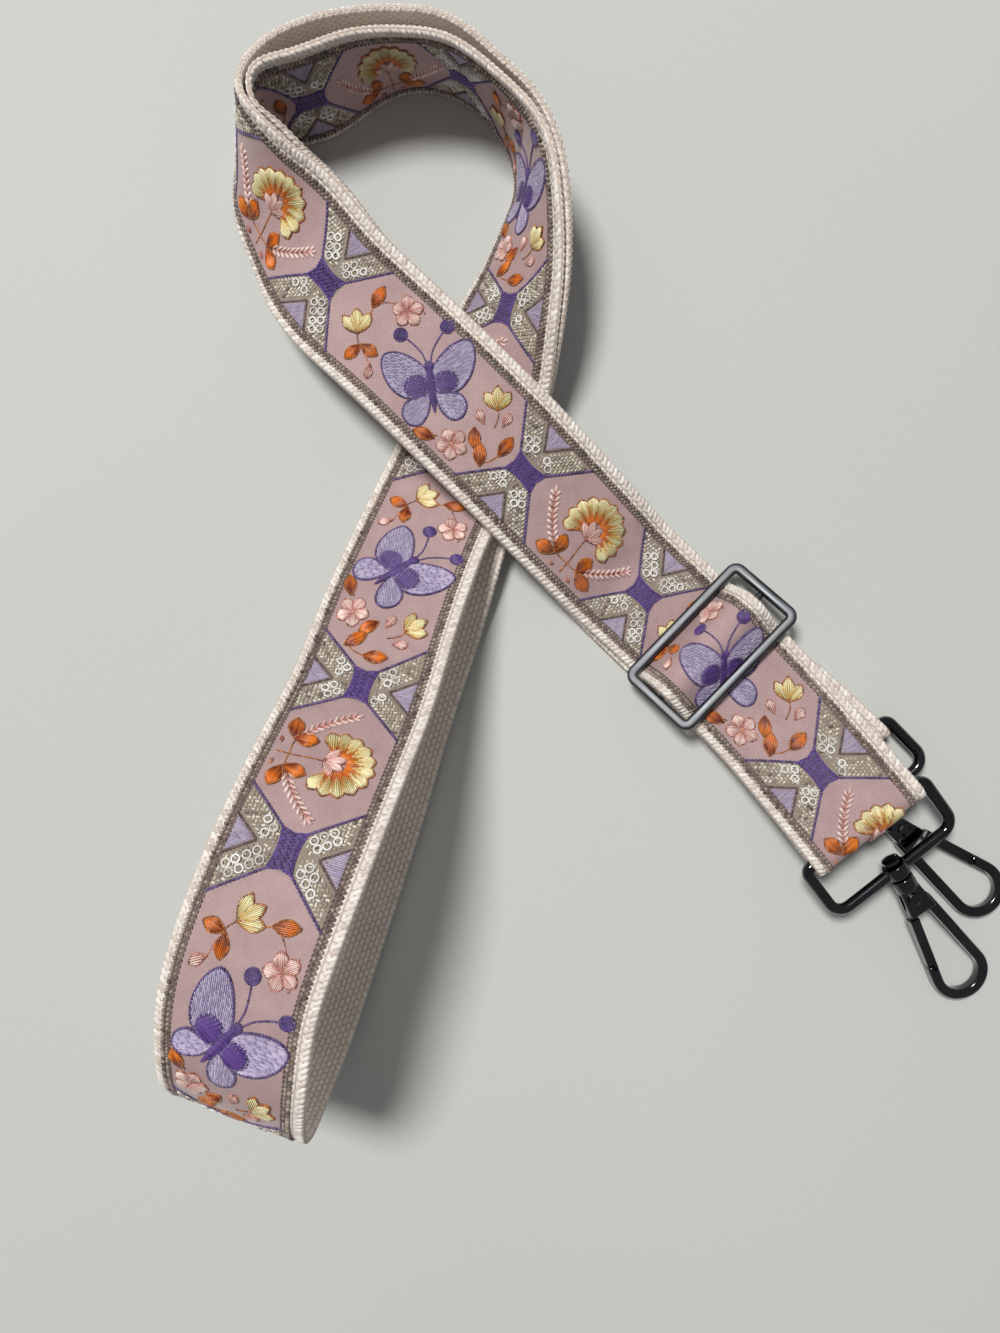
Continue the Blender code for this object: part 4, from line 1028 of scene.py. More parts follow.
FAN_STEP_DEG = 23.2


def flower_cell(p):
    """The short cell: a fan flower over a sprig on either side."""
    at = cell_places(p)
    centre = at(24.5, 2.6)
    for i in range(11):
        heading = -27.0 + FAN_STEP_DEG * i
        petal("yellow", centre + ray(3.0, heading), heading, 6.6, 3.7, FOOT, 1.25, "amber", 0.66,
              0.4, 0.6)
        for side, reach in ((-0.5, 7.4), (-0.25, 5.6), (0.0, 6.6), (0.25, 5.6)):
            start, end = (ray(far, heading + side * FAN_STEP_DEG) for far in (2.2, reach))
            thread("orange", (centre + start, centre + end), 0.5, 0.8, 1.42, shade=-0.4)
    for heading, length in ((40.0, 5.2), (140.0, 5.2), (74.0, 6.0), (106.0, 6.0)):
        petal("pink", at(24.5, -0.9), heading, length, 2.0, 0.8, 1.45, "rose", 0.62)
    stem((at(24.5, 0.4), at(24.2, -4.2), at(23.7, -8.4), at(23.6, -12.4)))
    stem((at(23.8, -9.2), at(26.6, -9.4), at(29.2, -8.9)))
    stem((at(23.8, -9.2), at(21.6, -9.2), at(19.6, -8.6)))
    leaf_pair(at(28.4, -9.8), 35.0, 6.2, 3.9, 46.0)
    leaf_pair(at(20.0, -9.5), 145.0, 6.2, 3.9, 46.0)
    sprig((at(29.8, -8.0), at(33.2, -5.6), at(36.8, -1.9), at(39.9, 2.2)))
    sprig((at(18.8, -7.9), at(15.4, -5.8), at(11.8, -2.6), at(8.6, 1.2)))
    for x, y, heading in ((21.4, -12.0, 200.0), (26.0, -12.0, -20.0)):
        petal("rose", at(x, y), heading, 2.2, 1.1, FOOT, 1.0)


# The butterfly's heading on the strap
FLIGHT_DEG = 37.0


def disc(x, y, radius_x, radius_y, count):
    """Outline of a round spot."""
    return [(x + radius_x * math.cos(a), y + radius_y * math.sin(a))
            for a in np.linspace(0, 2 * math.pi, count)[:-1]]


def butterfly(p):
    """A butterfly in satin stitch, its wings outlined, turned on the strap."""
    def at(points):
        return turned(points, FLIGHT_DEG) + (p + 36.4, -0.65)

    upper = smooth_loop(((3.0, 0.9), (7.2, 4.3), (9.7, 8.7), (9.3, 12.2), (5.2, 12.9),
                         (0.2, 11.3), (-3.2, 8.1), (-4.0, 4.2), (-2.6, 0.9)))
    lower = smooth_loop(((-2.4, 0.9), (-4.0, 4.4), (-4.9, 7.6), (-8.0, 8.9), (-11.0, 7.4),
                         (-11.4, 4.4), (-8.8, 2.0), (-5.2, 0.9)))
    for side in (1, -1):
        flip = (1, side)
        fill("lilac", at(upper * flip), FLIGHT_DEG + 62.0 * side, 0.46, 2.6, FOOT, 0.98, 0.14)
        fill("lilac", at(lower * flip), FLIGHT_DEG + 128.0 * side, 0.46, 2.4, FOOT, 0.96, 0.12)
        cord("plum", at(upper * flip), 0.72, FOOT, 1.14, 0.85, 16.0, True)
        cord("plum", at(lower * flip), 0.72, FOOT, 1.1, 0.85, 16.0, True)
        spot = disc(-0.9, side * 4.1, 3.2, 3.6, 20)
        fill("purple", at(spot), FLIGHT_DEG + 90.0, 0.42, 12.0, 0.9, 1.3, 0.1)
        feeler = smooth_loop(((4.8, 0.5 * side), (8.2, 1.5 * side), (11.4, 3.7 * side),
                              (13.2, 5.4 * side)), 6, False)
        cord("plum", at(feeler), 0.55, FOOT, 1.0, 0.85, 8.0)
        knob = disc(14.3, side * 6.5, 1.9, 1.9, 16)
        fill("purple", at(knob), FLIGHT_DEG + 20.0, 0.4, 12.0, FOOT, 1.14, 0.12)
        cord("plum", at(knob), 0.42, FOOT, 1.1, 0.8, 8.0, True)
    body = petal_shape((-9.6, 0.0), 0.0, 14.4, 2.7, 0.6, 14)
    fill("purple", at(body), FLIGHT_DEG + 78.0, 0.42, 12.0, 0.9, 1.34, 0.06)
    head = disc(4.4, 0.0, 1.25, 1.2, 14)
    fill("purple", at(head), FLIGHT_DEG, 0.4, 12.0, 0.9, 1.36, 0.04)


def butterfly_cell(p):
    """The long cell: a butterfly among buds, leaves and blossoms."""
    at = cell_places(p)
    butterfly(p)
    bud(at(61.2, -4.8), 46.0)
    stem((at(61.2, -4.8), at(59.6, -6.3), at(57.6, -7.4)))
    leaf_pair(at(58.4, -6.4), 226.0, 5.8, 3.3, 52.0)
    single_leaf(at(62.8, 3.2), 78.0, 6.6, 3.4)
    stem((at(62.8, 3.6), at(61.8, 0.6), at(61.2, -2.4)))
    petal("pink", at(52.6, -8.6), 236.0, 4.4, 2.3, FOOT, 1.2, "rose", shade=0.5)
    stem((at(56.4, -7.6), at(54.6, -8.2), at(52.6, -8.6)), "rose")
    blossom(at(54.6, 8.8), 4.5, 46.0)
    stem((at(58.4, 8.4), at(61.0, 6.6), at(62.6, 4.0)), "rose")
    for x, y in ((58.2, 11.4), (51.0, 11.6), (57.6, 6.4)):
        grain("rose", at(x, y), 40.0, 1.1, 0.6, FOOT, 0.95)
    bud(at(17.4, 6.4), 46.0, length=6.2, width=3.0)
    stem((at(17.6, 7.0), at(15.8, 5.2), at(14.6, 2.4)))
    blossom(at(20.0, -8.8), 4.5, 20.0)
    stem((at(24.4, -10.0), at(26.8, -11.4), at(29.4, -12.6)))
    single_leaf(at(24.6, -10.9), -24.0, 6.4, 3.2)
    single_leaf(at(10.2, -7.9), 46.0, 6.6, 3.5)
    single_leaf(at(18.8, -1.2), 226.0, 5.8, 3.3)
    single_leaf(at(8.4, -2.4), 84.0, 6.6, 3.4)
    stem((at(10.8, -7.2), at(9.2, -5.0), at(8.5, -2.4)))
    for x, y, heading in ((17.4, 1.2, 20.0), (13.2, 4.2, 80.0)):
        petal("pink", at(x, y), heading, 4.2, 2.3, FOOT, 1.2, "rose", shade=0.5)


def borders():
    """A beaded chain along both edges of the trim, one repeat long."""
    count = 112
    step = REPEAT_LENGTH / count
    for side in (-1, 1):
        for i in range(count):
            p = (i + 0.5) * step
            grain("taupe", (p, side * 15.65), 90.0 - 24.0 * side, 1.35, 0.95,
                  GROUND_TOP - 0.15, 1.14)
            grain("taupe", (p + step / 2, side * 14.65), 90.0 + 30.0 * side, 1.15, 0.74,
                  GROUND_TOP - 0.1, 1.0)
            grain("brown", (p, side * 13.95), 14.0 * side, 1.2, 0.45, GROUND_TOP - 0.1, 0.94)


block(BLOCKS[0], (4, 3, 2, 4))
block(BLOCKS[1], (6, 3, 5, 8))
butterfly_cell(BLOCKS[0])
flower_cell(BLOCKS[1])
borders()

# Where the repeats fall along the strap: distance along it against place in the pattern, both
# in millimetres
ANCHORS = np.array(((126.5, 0.0), (168.0, 36.4), (204.5, 78.5), (255.0, 128.5), (331.0, 207.0),
                    (873.0, 721.0), (921.5, 771.0), (960.3, 807.4), (1042.5, 899.5),
                    (1158.5, 1028.0)))


def carried(x, known, sought):
    """Places in the sought scale for places in the known one, beyond its ends at a like rate."""
    return np.where(x < known[0], sought[0] + x - known[0],
                    np.where(x > known[-1], sought[-1] + x - known[-1],
                             np.interp(x, known, sought)))


FIRST_REPEAT, LAST_REPEAT = -1, 10
END_MARGIN = 0.6


def repeated(kind):
    """One colour of the embroidery over the whole strap, as one mesh for each stretch."""
    store = REPEAT[kind]
    if not store.count:
        return {}
    flat = np.concatenate(store.points)
    tones = np.concatenate(store.tones)
    sizes = np.array([len(face) for face in store.faces])
    corners = np.concatenate([np.array(face) for face in store.faces])
    starts = np.concatenate(([0], np.cumsum(sizes)[:-1]))
    pieces = np.concatenate([np.full(len(some), i) for i, some in enumerate(store.points)])
    made = {stretch: ([], [], []) for stretch in STRETCHES}
    for number in range(FIRST_REPEAT, LAST_REPEAT + 1):
        s = carried(flat[:, 0] + REPEAT_LENGTH * number, *ANCHORS.T[::-1])
        good = (s > END_MARGIN) & (s < STRAP_LENGTH / MM - END_MARGIN)
        whole = np.ones(pieces[-1] + 1, dtype=bool)
        np.logical_and.at(whole, pieces, good)
        if not whole.any():
            continue
        change = 0.3 * (DICE.rand(pieces[-1] + 1) - 0.5)
        middle = np.bincount(pieces, s) / np.bincount(pieces)
        for stretch, (points, shades, faces) in made.items():
            keep = (whole & in_stretch(stretch, middle))[pieces]
            if not keep.any():
                continue
            new = np.cumsum(keep) - 1 + sum(len(some) for some in points)
            points.append(on_strap(s[keep] * MM, (flat[keep, 1] + TRIM_SHIFT) * MM,
                                   flat[keep, 2] * MM))
            shades.append(tones[keep] + change[pieces[keep]])
            for start, size in zip(starts[keep[corners[starts]]], sizes[keep[corners[starts]]]):
                faces.append(tuple(new[corners[start:start + size]].tolist()))
    return {stretch: mesh_object(f"embroidery_{kind}_{stretch}", np.concatenate(points), faces,
                                 YARNS[kind], {"tone": np.concatenate(shades)})
            for stretch, (points, shades, faces) in made.items() if points}


# The webbing and the trim's ground


SWEEP_STEP = 1.1 * MM
SWEEP_TURN_DEG = 7.0


def sweep_places():
    """Distances for the long strips: close together where the strap bends."""
    turn = np.degrees(np.arccos(np.clip(np.sum(FACES[1:] * FACES[:-1], axis=1), -1, 1)))
    effort = np.concatenate(([0.0], np.cumsum(np.diff(FINE) / SWEEP_STEP
                                              + turn / SWEEP_TURN_DEG)))
    count = int(effort[-1]) + 1
    return np.interp(np.linspace(0.0, effort[-1], count), effort, FINE)


SWEEP = sweep_places()


def strip(name, stretch, outline, material, attribute=None, shift=0.0):
    """Closed strips with one cross-section, from (t, h) corners in millimetres."""
    outline = np.asarray(outline, float)
    n = len(outline)
    places, faces, base = [], [], 0
    for low, high in STRETCHES[stretch]:
        inner = SWEEP[(SWEEP > low + 0.2 * MM) & (SWEEP < high - 0.2 * MM)]
        places += [low, *inner, high]
        rows = len(inner) + 2
        for i in range(rows - 1):
            for j in range(n):
                here, beside = base + i * n + j, base + i * n + (j + 1) % n
                faces.append((here, here + n, beside + n, beside))
        faces.append(tuple(range(base, base + n)))
        faces.append(tuple(range(base + rows * n - 1, base + (rows - 1) * n - 1, -1)))
        base += rows * n
    s = np.repeat(places, n)
    t, h = (np.tile(outline[:, i], len(places)) for i in (0, 1))
    points = on_strap(s, (t + shift) * MM, h * MM)
    values = {"zone": attribute(s / MM, t)} if attribute else {}
    return mesh_object(f"{name}_{stretch}", points, faces, material, values,
                       np.column_stack((s / MM, t)))


def webbing_outline():
    """Half-round edges, a flat back and borders that swell beside the trim."""
    right = [(19.0, -0.42), (18.93, -0.1), (18.72, 0.25), (18.3, 0.52), (17.6, 0.66),
             (16.6, 0.6), (15.9, 0.45), (15.0, 0.42), (10.0, 0.42), (5.0, 0.42)]
    left = [(-x, y) for x, y in right[::-1]]
    under = [(-18.85, -0.8), (-18.5, -1.1), (-18.0, -1.22)]
    back = [(x, -1.25) for x in (-15.0, -10.0, -5.0, 0.0, 5.0, 10.0, 15.0)]
    return right + left + under + back + [(-x, y) for x, y in under[::-1]]


def zones(s, t):
    """Which ground a place on the trim has: 0 cell, 1 band, 2 border."""
    p = np.mod(carried(s, *ANCHORS.T), REPEAT_LENGTH)
    near = np.minimum.reduce([np.abs(p - b) for b in (*BLOCKS, REPEAT_LENGTH)])
    reach = 4.9 + np.maximum(np.abs(t) - 3.1, 0.0) * 8.8 / 10.8
    zone = np.where(near < reach, 1.0, 0.0)
    return np.where(np.abs(t) > 13.8, 2.0, zone)


HALF = TRIM_WIDTH / MM / 2
ACROSS_TRIM = np.linspace(HALF - 0.15, 0.15 - HALF, 38)
TRIM_OUTLINE = ([(HALF, 0.5)] + [(t, GROUND_TOP) for t in ACROSS_TRIM] + [(-HALF, 0.5)]
                + [(t, 0.45) for t in (-HALF + 0.2, -7.5, 0.0, 7.5, HALF - 0.2)])

grounds = {}
for stretch, ranges in STRETCHES.items():
    length = sum(high - low for low, high in ranges)
    webbing = strip("cotton_webbing", stretch, webbing_outline(), WEBBING)
    bend(webbing, stretch)
    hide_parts("webbing")
    grounds[stretch] = strip("trim_ground", stretch, TRIM_OUTLINE, GROUND, zones, TRIM_SHIFT)
    bend(grounds[stretch], stretch)
    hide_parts("embroidered_trim")

# Selvages: twisted yarns over and under each edge of the webbing


SELVAGE_PITCH = 1.5


def selvages():
    """Grains of the woven borders, placed by distance along the strap."""
    stores = {stretch: Stitches() for stretch in STRETCHES}
    for side in (-1, 1):
        for i in range(int(STRAP_LENGTH / MM / SELVAGE_PITCH)):
            s = (i + 0.5) * SELVAGE_PITCH
            store = stores["bow" if in_stretch("bow", s) else "hook_end"]
            grain("cream", (s, side * 17.7), side * 54.0, 3.1, 1.3, 0.0, 0.9, store)
            grain("cream", (s, side * 18.1), side * 54.0, 2.5, 1.25, 0.3, 1.25, store, True)
    for stretch, made in stores.items():
        flat = np.concatenate(made.points)
        points = on_strap(flat[:, 0] * MM, flat[:, 1] * MM, flat[:, 2] * MM)
        bend(mesh_object(f"webbing_selvages_{stretch}", points, made.faces, YARNS["cream"],
                         {"tone": np.concatenate(made.tones)}), stretch)


selvages()

threads = {stretch: [] for stretch in STRETCHES}
for kind in YARNS:
    for stretch, made in repeated(kind).items():
        bend(made, stretch)
        threads[stretch].append(made)
for stretch, ranges in STRETCHES.items():
    sum(high - low for low, high in ranges)

# Metal pieces, each modelled in its own frame and then put where its solid is

SLIDER_SIDE_CLEARANCE = 0.0015
SLIDER_CORNER_RADIUS = 0.002
RING_SIDE_CLEARANCE = 0.0005
RING_DEPTH = 0.0168
RING_NEAR_CORNER_RADIUS = 0.0022
RING_FAR_CORNER_RADIUS = 0.0042
BOSS_RADIUS = 0.0036
BOSS_LENGTH = 0.0038
BOSS_BORE_RADIUS = 0.0021
STEM_RADIUS = 0.0015
SWIVEL_END_PLAY = 0.0008
HOOK_LENGTH = 0.0463
HOOK_WIDTH = 0.017
HOOK_BAR_WIDTH = 0.003
HOOK_THICKNESS = 0.0036
COLLAR_RADIUS = 0.0033
COLLAR_LENGTH = 0.0036
NECK_WIDTH = 0.0084
NECK_LENGTH = 0.0087
NECK_THICKNESS = 0.005
SLOT_HEIGHT = 0.0022
SLOT_BACK_WALL = 0.0012
SPINE_WALL = 0.002
ARM_START_INSET = 0.0038
NOSE_INSET = 0.0137
LIP_LENGTH = 0.0014
GATE_PIVOT_PLACE = 0.0097
GATE_PIVOT_SIDE = 0.0006
RIVET_RADIUS = 0.0009
COLLAR_START = BOSS_LENGTH / 2 + SWIVEL_END_PLAY
NECK_START = COLLAR_START + COLLAR_LENGTH
NECK_END = NECK_START + NECK_LENGTH
NECK_HALF = NECK_WIDTH / 2
TIP_CENTRE = HOOK_LENGTH - HOOK_WIDTH / 2
TIP_RADIUS = (HOOK_WIDTH - HOOK_BAR_WIDTH) / 2
NOSE_PLACE = HOOK_LENGTH - NOSE_INSET
SIDE_START = NECK_END - ARM_START_INSET
SIDE_OFFSET = NECK_HALF - HOOK_BAR_WIDTH / 2


def facing(place, heading_deg, slope_deg, roll_deg=0.0):
    """World matrix whose X axis points along a heading, sloping down, turned about itself."""
    return (Matrix.Translation(place) @ Matrix.Rotation(math.radians(heading_deg), 4, "Z")
            @ Matrix.Rotation(math.radians(slope_deg), 4, "Y")
            @ Matrix.Rotation(math.radians(roll_deg), 4, "X"))


def take(thing):
    """Leave only this object selected and active."""
    if bpy.context.object and bpy.context.object.mode != "OBJECT":
        bpy.ops.object.mode_set(mode="OBJECT")
    bpy.ops.object.select_all(action="DESELECT")
    thing.select_set(True)
    bpy.context.view_layer.objects.active = thing


def started(name):
    """The primitive just added, named, with its place put in its mesh."""
    thing = bpy.context.object
    thing.name = thing.data.name = name
    bpy.ops.object.transform_apply(location=True, rotation=True, scale=True)
    return thing


def choose(test):
    """Select the corners of the mesh being edited that pass a test of their place."""
    shape = bmesh.from_edit_mesh(bpy.context.object.data)
    bpy.ops.mesh.select_mode(type="VERT")
    bpy.ops.mesh.select_all(action="DESELECT")
    for corner in shape.verts:
        corner.select_set(bool(test(corner.co)))
    shape.select_flush(True)
    bmesh.update_edit_mesh(bpy.context.object.data)


def apply_modifier(thing, kind, **settings):
    """Add a modifier and apply it."""
    take(thing)
    change = thing.modifiers.new(kind.lower(), kind)
    for key, value in settings.items():
        setattr(change, key, value)
    bpy.ops.object.modifier_apply(modifier=change.name)


def outward(thing):
    """Merge doubles and point the faces outwards."""
    take(thing)
    bpy.ops.object.mode_set(mode="EDIT")
    bpy.ops.mesh.select_all(action="SELECT")
    bpy.ops.mesh.remove_doubles(threshold=1e-6)
    bpy.ops.mesh.normals_make_consistent(inside=False)
    bpy.ops.object.mode_set(mode="OBJECT")


def shade_smooth(thing):
    """Shade smooth but for the sharp edges."""
    take(thing)
    bpy.ops.object.shade_smooth_by_angle(angle=math.radians(35.0))


def soften(thing, width):
    """Round the sharp edges and shade the rest smooth."""
    apply_modifier(thing, "BEVEL", width=width, segments=3, limit_method="ANGLE",
                   angle_limit=math.radians(40.0), harden_normals=False)
    shade_smooth(thing)


def joined_by(thing, tool, operation):
    """Join a second shape to a piece, or cut it away, and remove the second shape."""
    outward(tool)
    apply_modifier(thing, "BOOLEAN", operation=operation, object=tool, solver="EXACT")
    bpy.data.objects.remove(tool, do_unlink=True)


def rounded_frame(name, x0, x1, half_width, near_radius, far_radius):
    """A closed line round a rectangle with arcs at its corners."""
    bpy.ops.object.select_all(action="DESELECT")
    bpy.ops.mesh.primitive_plane_add(size=1.0, location=((x0 + x1) / 2, 0.0, 0.0))
    bpy.context.object.scale = (x1 - x0, 2 * half_width, 1.0)
    thing = started(name)
    bpy.ops.object.mode_set(mode="EDIT")
    middle = (x0 + x1) / 2
    choose(lambda place: place.x < middle)
    bpy.ops.mesh.bevel(offset=near_radius, segments=8, affect="VERTICES")
    choose(lambda place: place.x > x1 - 0.01 * MM)
    bpy.ops.mesh.bevel(offset=far_radius, segments=10, affect="VERTICES")
    bpy.ops.mesh.select_all(action="SELECT")
    bpy.ops.mesh.delete(type="ONLY_FACE")
    bpy.ops.object.mode_set(mode="OBJECT")
    return thing


def flat_bar(thing, height, thickness, bevel):
    """Give a flat line the section of a bar with rounded edges."""
    take(thing)
    bpy.ops.object.mode_set(mode="EDIT")
    bpy.ops.mesh.select_all(action="SELECT")
    bpy.ops.mesh.extrude_region_move(TRANSFORM_OT_translate={"value": (0.0, 0.0, height)})
    bpy.ops.mesh.select_all(action="SELECT")
    bpy.ops.transform.translate(value=(0.0, 0.0, -height / 2))
    bpy.ops.mesh.normals_make_consistent(inside=False)
    bpy.ops.object.mode_set(mode="OBJECT")
    apply_modifier(thing, "SOLIDIFY", thickness=thickness, offset=0.0, use_even_offset=True)
    outward(thing)
    soften(thing, bevel)


def post(name, radius, start, end, sides=40, axis="X"):
    """A round bar along an axis, from one distance to another."""
    bpy.ops.object.select_all(action="DESELECT")
    middle = (start + end) / 2
    turn = {"X": (0.0, math.pi / 2, 0.0), "Z": (0.0, 0.0, 0.0)}[axis]
    where = {"X": (middle, 0.0, 0.0), "Z": (0.0, 0.0, middle)}[axis]
    bpy.ops.mesh.primitive_cylinder_add(vertices=sides, radius=radius, depth=end - start,
                                        location=where, rotation=turn)
    return started(name)


def slab(name, low, high):
    """A block between two corners."""
    bpy.ops.object.select_all(action="DESELECT")
    low, high = Vector(low), Vector(high)
    bpy.ops.mesh.primitive_cube_add(size=1.0, location=(low + high) / 2)
    bpy.context.object.scale = high - low
    return started(name)


def strap_ring(name):
    """A ring of round wire with its corners bent, and the swivel's boss on its far bar."""
    half_width = STRAP_WIDTH / 2 + RING_SIDE_CLEARANCE + RING_WIRE_RADIUS
    ring = rounded_frame(name, 0.0, RING_DEPTH, half_width, RING_NEAR_CORNER_RADIUS,
                         RING_FAR_CORNER_RADIUS)
    take(ring)
    bpy.ops.object.convert(target="CURVE")
    ring = bpy.context.object
    ring.data.bevel_depth, ring.data.bevel_resolution = RING_WIRE_RADIUS, 6
    bpy.ops.object.convert(target="MESH")
    ring = bpy.context.object
    outward(ring)
    start, end = RING_DEPTH - BOSS_LENGTH / 2, RING_DEPTH + BOSS_LENGTH / 2
    boss = post("boss", BOSS_RADIUS, start, end)
    soften(boss, 0.5 * MM)
    joined_by(ring, boss, "UNION")
    joined_by(ring, post("bore", BOSS_BORE_RADIUS, start - 2 * MM, end + 2 * MM), "DIFFERENCE")
    shade_smooth(ring)
    return ring


def snap_hook(name):
    """A hook's body: bent bar, neck with the gate's slot, collar and bores."""
    line = belt([((SIDE_START, -SIDE_OFFSET), 0.0, 0), ((TIP_CENTRE, 0.0), TIP_RADIUS, 1),
                 ((SIDE_START, SIDE_OFFSET), 0.0, 0)])
    (x1, y1), (x2, y2) = line[-2:]

    def gate_side(x):
        """Middle of the bar on the gate's side."""
        return y1 + (y2 - y1) * (x - x1) / (x2 - x1)

    nose = NOSE_PLACE - LIP_LENGTH
    ends = {-1: Vector((*line[0], 0.0)), 1: Vector((nose, gate_side(nose), 0.0))}
    bpy.ops.object.select_all(action="DESELECT")
    bpy.ops.mesh.primitive_circle_add(vertices=72, radius=TIP_RADIUS,
                                      location=(TIP_CENTRE, 0.0, 0.0))
    hook = started(name)
    bpy.ops.object.mode_set(mode="EDIT")
    tangent = line[1][0] - 0.1 * MM
    choose(lambda place: place.x < tangent)
    bpy.ops.mesh.delete(type="VERT")
    for side, end in ends.items():
        shape = bmesh.from_edit_mesh(hook.data)
        last = min((v.co.copy() for v in shape.verts if v.co.y * side > 0), key=lambda c: c.x)
        choose(lambda place: (place - last).length < 0.01 * MM)
        bpy.ops.mesh.extrude_region_move(TRANSFORM_OT_translate={"value": end - last})
    bpy.ops.object.mode_set(mode="OBJECT")
    flat_bar(hook, HOOK_THICKNESS, HOOK_BAR_WIDTH, 0.8 * MM)

    neck = slab("neck", (NECK_START - 0.2 * MM, -NECK_HALF, -NECK_THICKNESS / 2),
                (NECK_END, NECK_HALF, NECK_THICKNESS / 2))
    bpy.ops.object.mode_set(mode="EDIT")
    choose(lambda place: place.x < NECK_START)
    bpy.ops.transform.resize(value=(1.0, 0.7, 0.86))
    bpy.ops.object.mode_set(mode="OBJECT")
    soften(neck, 0.7 * MM)
    joined_by(hook, neck, "UNION")
    collar = post("collar", COLLAR_RADIUS, COLLAR_START, NECK_START + 0.6 * MM)
    soften(collar, 0.5 * MM)
    joined_by(hook, collar, "UNION")
    low = SPINE_WALL - NECK_HALF
    joined_by(hook, slab("slot", (NECK_START + SLOT_BACK_WALL, low, -SLOT_HEIGHT / 2),
                         (NECK_END + MM, NECK_HALF + MM, SLOT_HEIGHT / 2)), "DIFFERENCE")
    joined_by(hook, post("stem_bore", STEM_RADIUS + 0.15 * MM, COLLAR_START - MM, NECK_START),
              "DIFFERENCE")
    hole = post("rivet_bore", RIVET_RADIUS + 0.15 * MM, -NECK_THICKNESS, NECK_THICKNESS, 24, "Z")
    hole.data.transform(Matrix.Translation((GATE_PIVOT_PLACE, GATE_PIVOT_SIDE, 0.0)))
    joined_by(hook, hole, "DIFFERENCE")
    middle = gate_side(NOSE_PLACE)
    joined_by(hook, slab("lip", (nose - MM, middle - 3 * MM, -HOOK_THICKNESS),
                         (NOSE_PLACE, middle, HOOK_THICKNESS)), "DIFFERENCE")
    shade_smooth(hook)
    return hook


def placed(thing, world, body, node, skin):
    """Put a finished piece where its solid is, on its body, in place of the solid."""
    thing.data.transform(Matrix.Translation(SHIFT) @ world)
    thing.data.materials.clear()
    thing.data.materials.append(skin)
    bpy.ops.object.select_all(action="DESELECT")
    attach(thing, body)
    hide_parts(node)


def end_of_strand(distance, z, drift):
    """Place of a ring's strap bar and the heading of the strand that leaves it."""
    place = Vector(strand(-distance, z, drift)[:3])
    leaving = -(ALONG + ACROSS * drift_rate(drift, -distance))
    return place, math.degrees(math.atan2(leaving.y, leaving.x))


GUNMETAL = metal("gunmetal_plate", "4A4C4F", "66686B", 0.46)
BLACK = metal("black_nickel_plate", "26262A", "404046", 0.16, 0.03, 1.0)
BAR_STEEL = metal("bar_plate", "55575A", "7C7E82", 0.35)
SPRING_STEEL = metal("spring_steel", "7C7F84", "A2A6AB", 0.4)

slider = rounded_frame("slider_plate", -SLIDER_HALF, SLIDER_HALF,
                       STRAP_WIDTH / 2 + SLIDER_SIDE_CLEARANCE + SLIDER_BAR_WIDTH / 2,
                       SLIDER_CORNER_RADIUS, SLIDER_CORNER_RADIUS)
flat_bar(slider, SLIDER_HEIGHT, SLIDER_BAR_WIDTH, 0.85 * MM)
placed(slider, facing(BAR_IN_LAY, STRAND_HEADING_DEG, math.degrees(SLIDER_TILT)), "slider",
       "slider_frame", GUNMETAL)

for number, distance, z, drift, slope, heading, roll in (
        (1, RING_1_DISTANCE, RING_1_Z, UPPER_DRIFT, RING_1_SLOPE_DEG, HOOK_1_HEADING_DEG, 180.0),
        (2, RING_2_DISTANCE, RING_2_Z, LOWER_DRIFT, RING_2_SLOPE_DEG, HOOK_2_HEADING_DEG, 0.0)):
    ring_world = facing(*end_of_strand(distance, z, drift), slope)
    boss = ring_world @ Vector((RING_DEPTH, 0.0, 0.0))
    drop = boss.z - HOOK_THICKNESS / 2 - GROUND_CLEARANCE
    hook_world = facing(boss, heading, math.degrees(math.asin(drop / HOOK_LENGTH)), roll)
    placed(strap_ring(f"bent_wire_ring_{number}"), ring_world, f"ring_{number}",
           f"strap_ring_{number}", BLACK)
    placed(snap_hook(f"swivel_hook_{number}"), hook_world, f"hook_{number}",
           f"hook_body_{number}", BLACK)

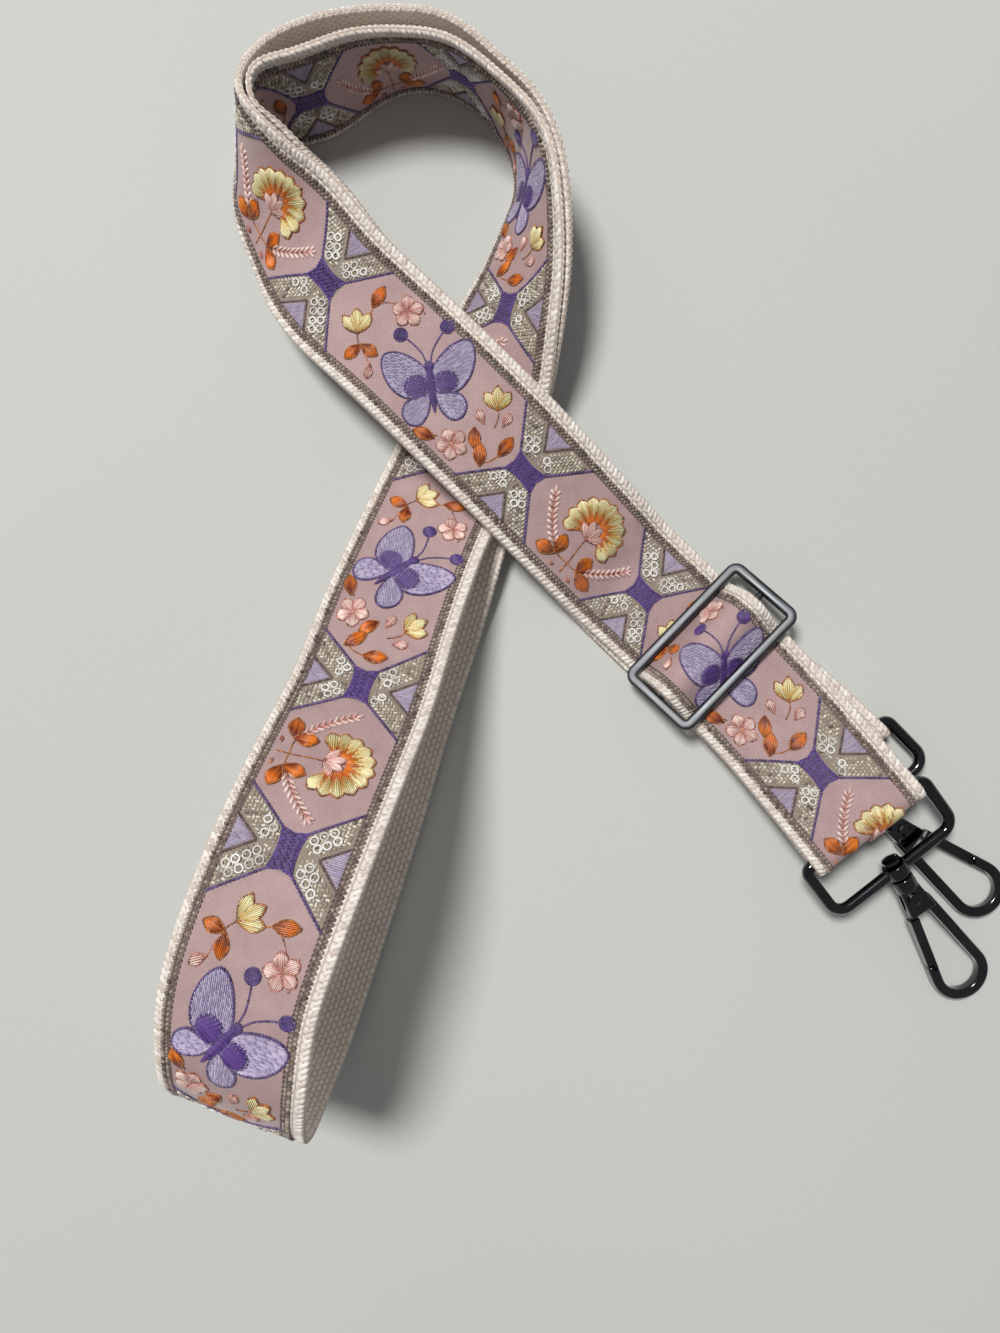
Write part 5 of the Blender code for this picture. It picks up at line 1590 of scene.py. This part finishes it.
FINISHES = {"slider_centre_bar": BAR_STEEL, "gate_spring_1": SPRING_STEEL,
            "gate_spring_2": SPRING_STEEL}
for name, node in NODES.items():
    if name in ("webbing", "embroidered_trim"):
        continue
    node.data.materials.clear()
    node.data.materials.append(FINISHES.get(name, BLACK))


# Floor, light and camera


def tabletop():
    """A pale plain table, very slightly uneven in tone."""
    made = Shader("pale_table", Roughness=0.85, Specular_IOR_Level=0.25)
    where = made.object_place()
    broad = made.noise(where, 3.0, 2.0)
    fine = made.noise(where, 700.0, 3.0)
    value = made.weighted((fine, 0.25), (broad, 0.75))
    made.paint(made.ramp(value, (0.3, "C9CBC8"), (0.7, "D1D2CE")))
    made.bump(fine, 0.05, 0.05 * MM)
    return made.material


bpy.ops.mesh.primitive_plane_add(size=4.0, location=(0.0, 0.0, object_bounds()[0].z))
table_top = bpy.context.object
table_top.name = "table_top"
table_top.data.materials.append(tabletop())

LAMP_PLACE = Vector((-0.75, 0.85, 2.4))
LAMP_SIZE = 0.66
LAMP_WATTS = 61.0
LAMP_TINT = (1.0, 0.985, 0.96)
ROOM_TINT = (0.96, 0.975, 1.0, 1.0)
ROOM_STRENGTH = 0.2

lamp = bpy.data.lights.new("key_light", "AREA")
lamp.shape, lamp.size, lamp.energy, lamp.color = "DISK", LAMP_SIZE, LAMP_WATTS, LAMP_TINT
key_light = bpy.data.objects.new("key_light", lamp)
key_light.location = LAMP_PLACE
key_light.rotation_euler = (-LAMP_PLACE).to_track_quat("-Z", "Y").to_euler()
bpy.context.scene.collection.objects.link(key_light)

world = bpy.data.worlds.new("studio")
world.use_nodes = True
for socket, value in enumerate((ROOM_TINT, ROOM_STRENGTH)):
    world.node_tree.nodes["Background"].inputs[socket].default_value = value
bpy.context.scene.world = world
bpy.context.scene.view_settings.view_transform = "Standard"

lens = bpy.data.cameras.new("camera")
lens.sensor_fit, lens.sensor_width, lens.lens = "HORIZONTAL", 36.0, 36.0 * FOCAL_SHARE
lens.clip_start = 0.01
camera = bpy.data.objects.new("camera", lens)
camera.location = CAMERA_PLACE
bpy.context.scene.collection.objects.link(camera)
bpy.context.scene.camera = camera

bpy.context.view_layer.update()
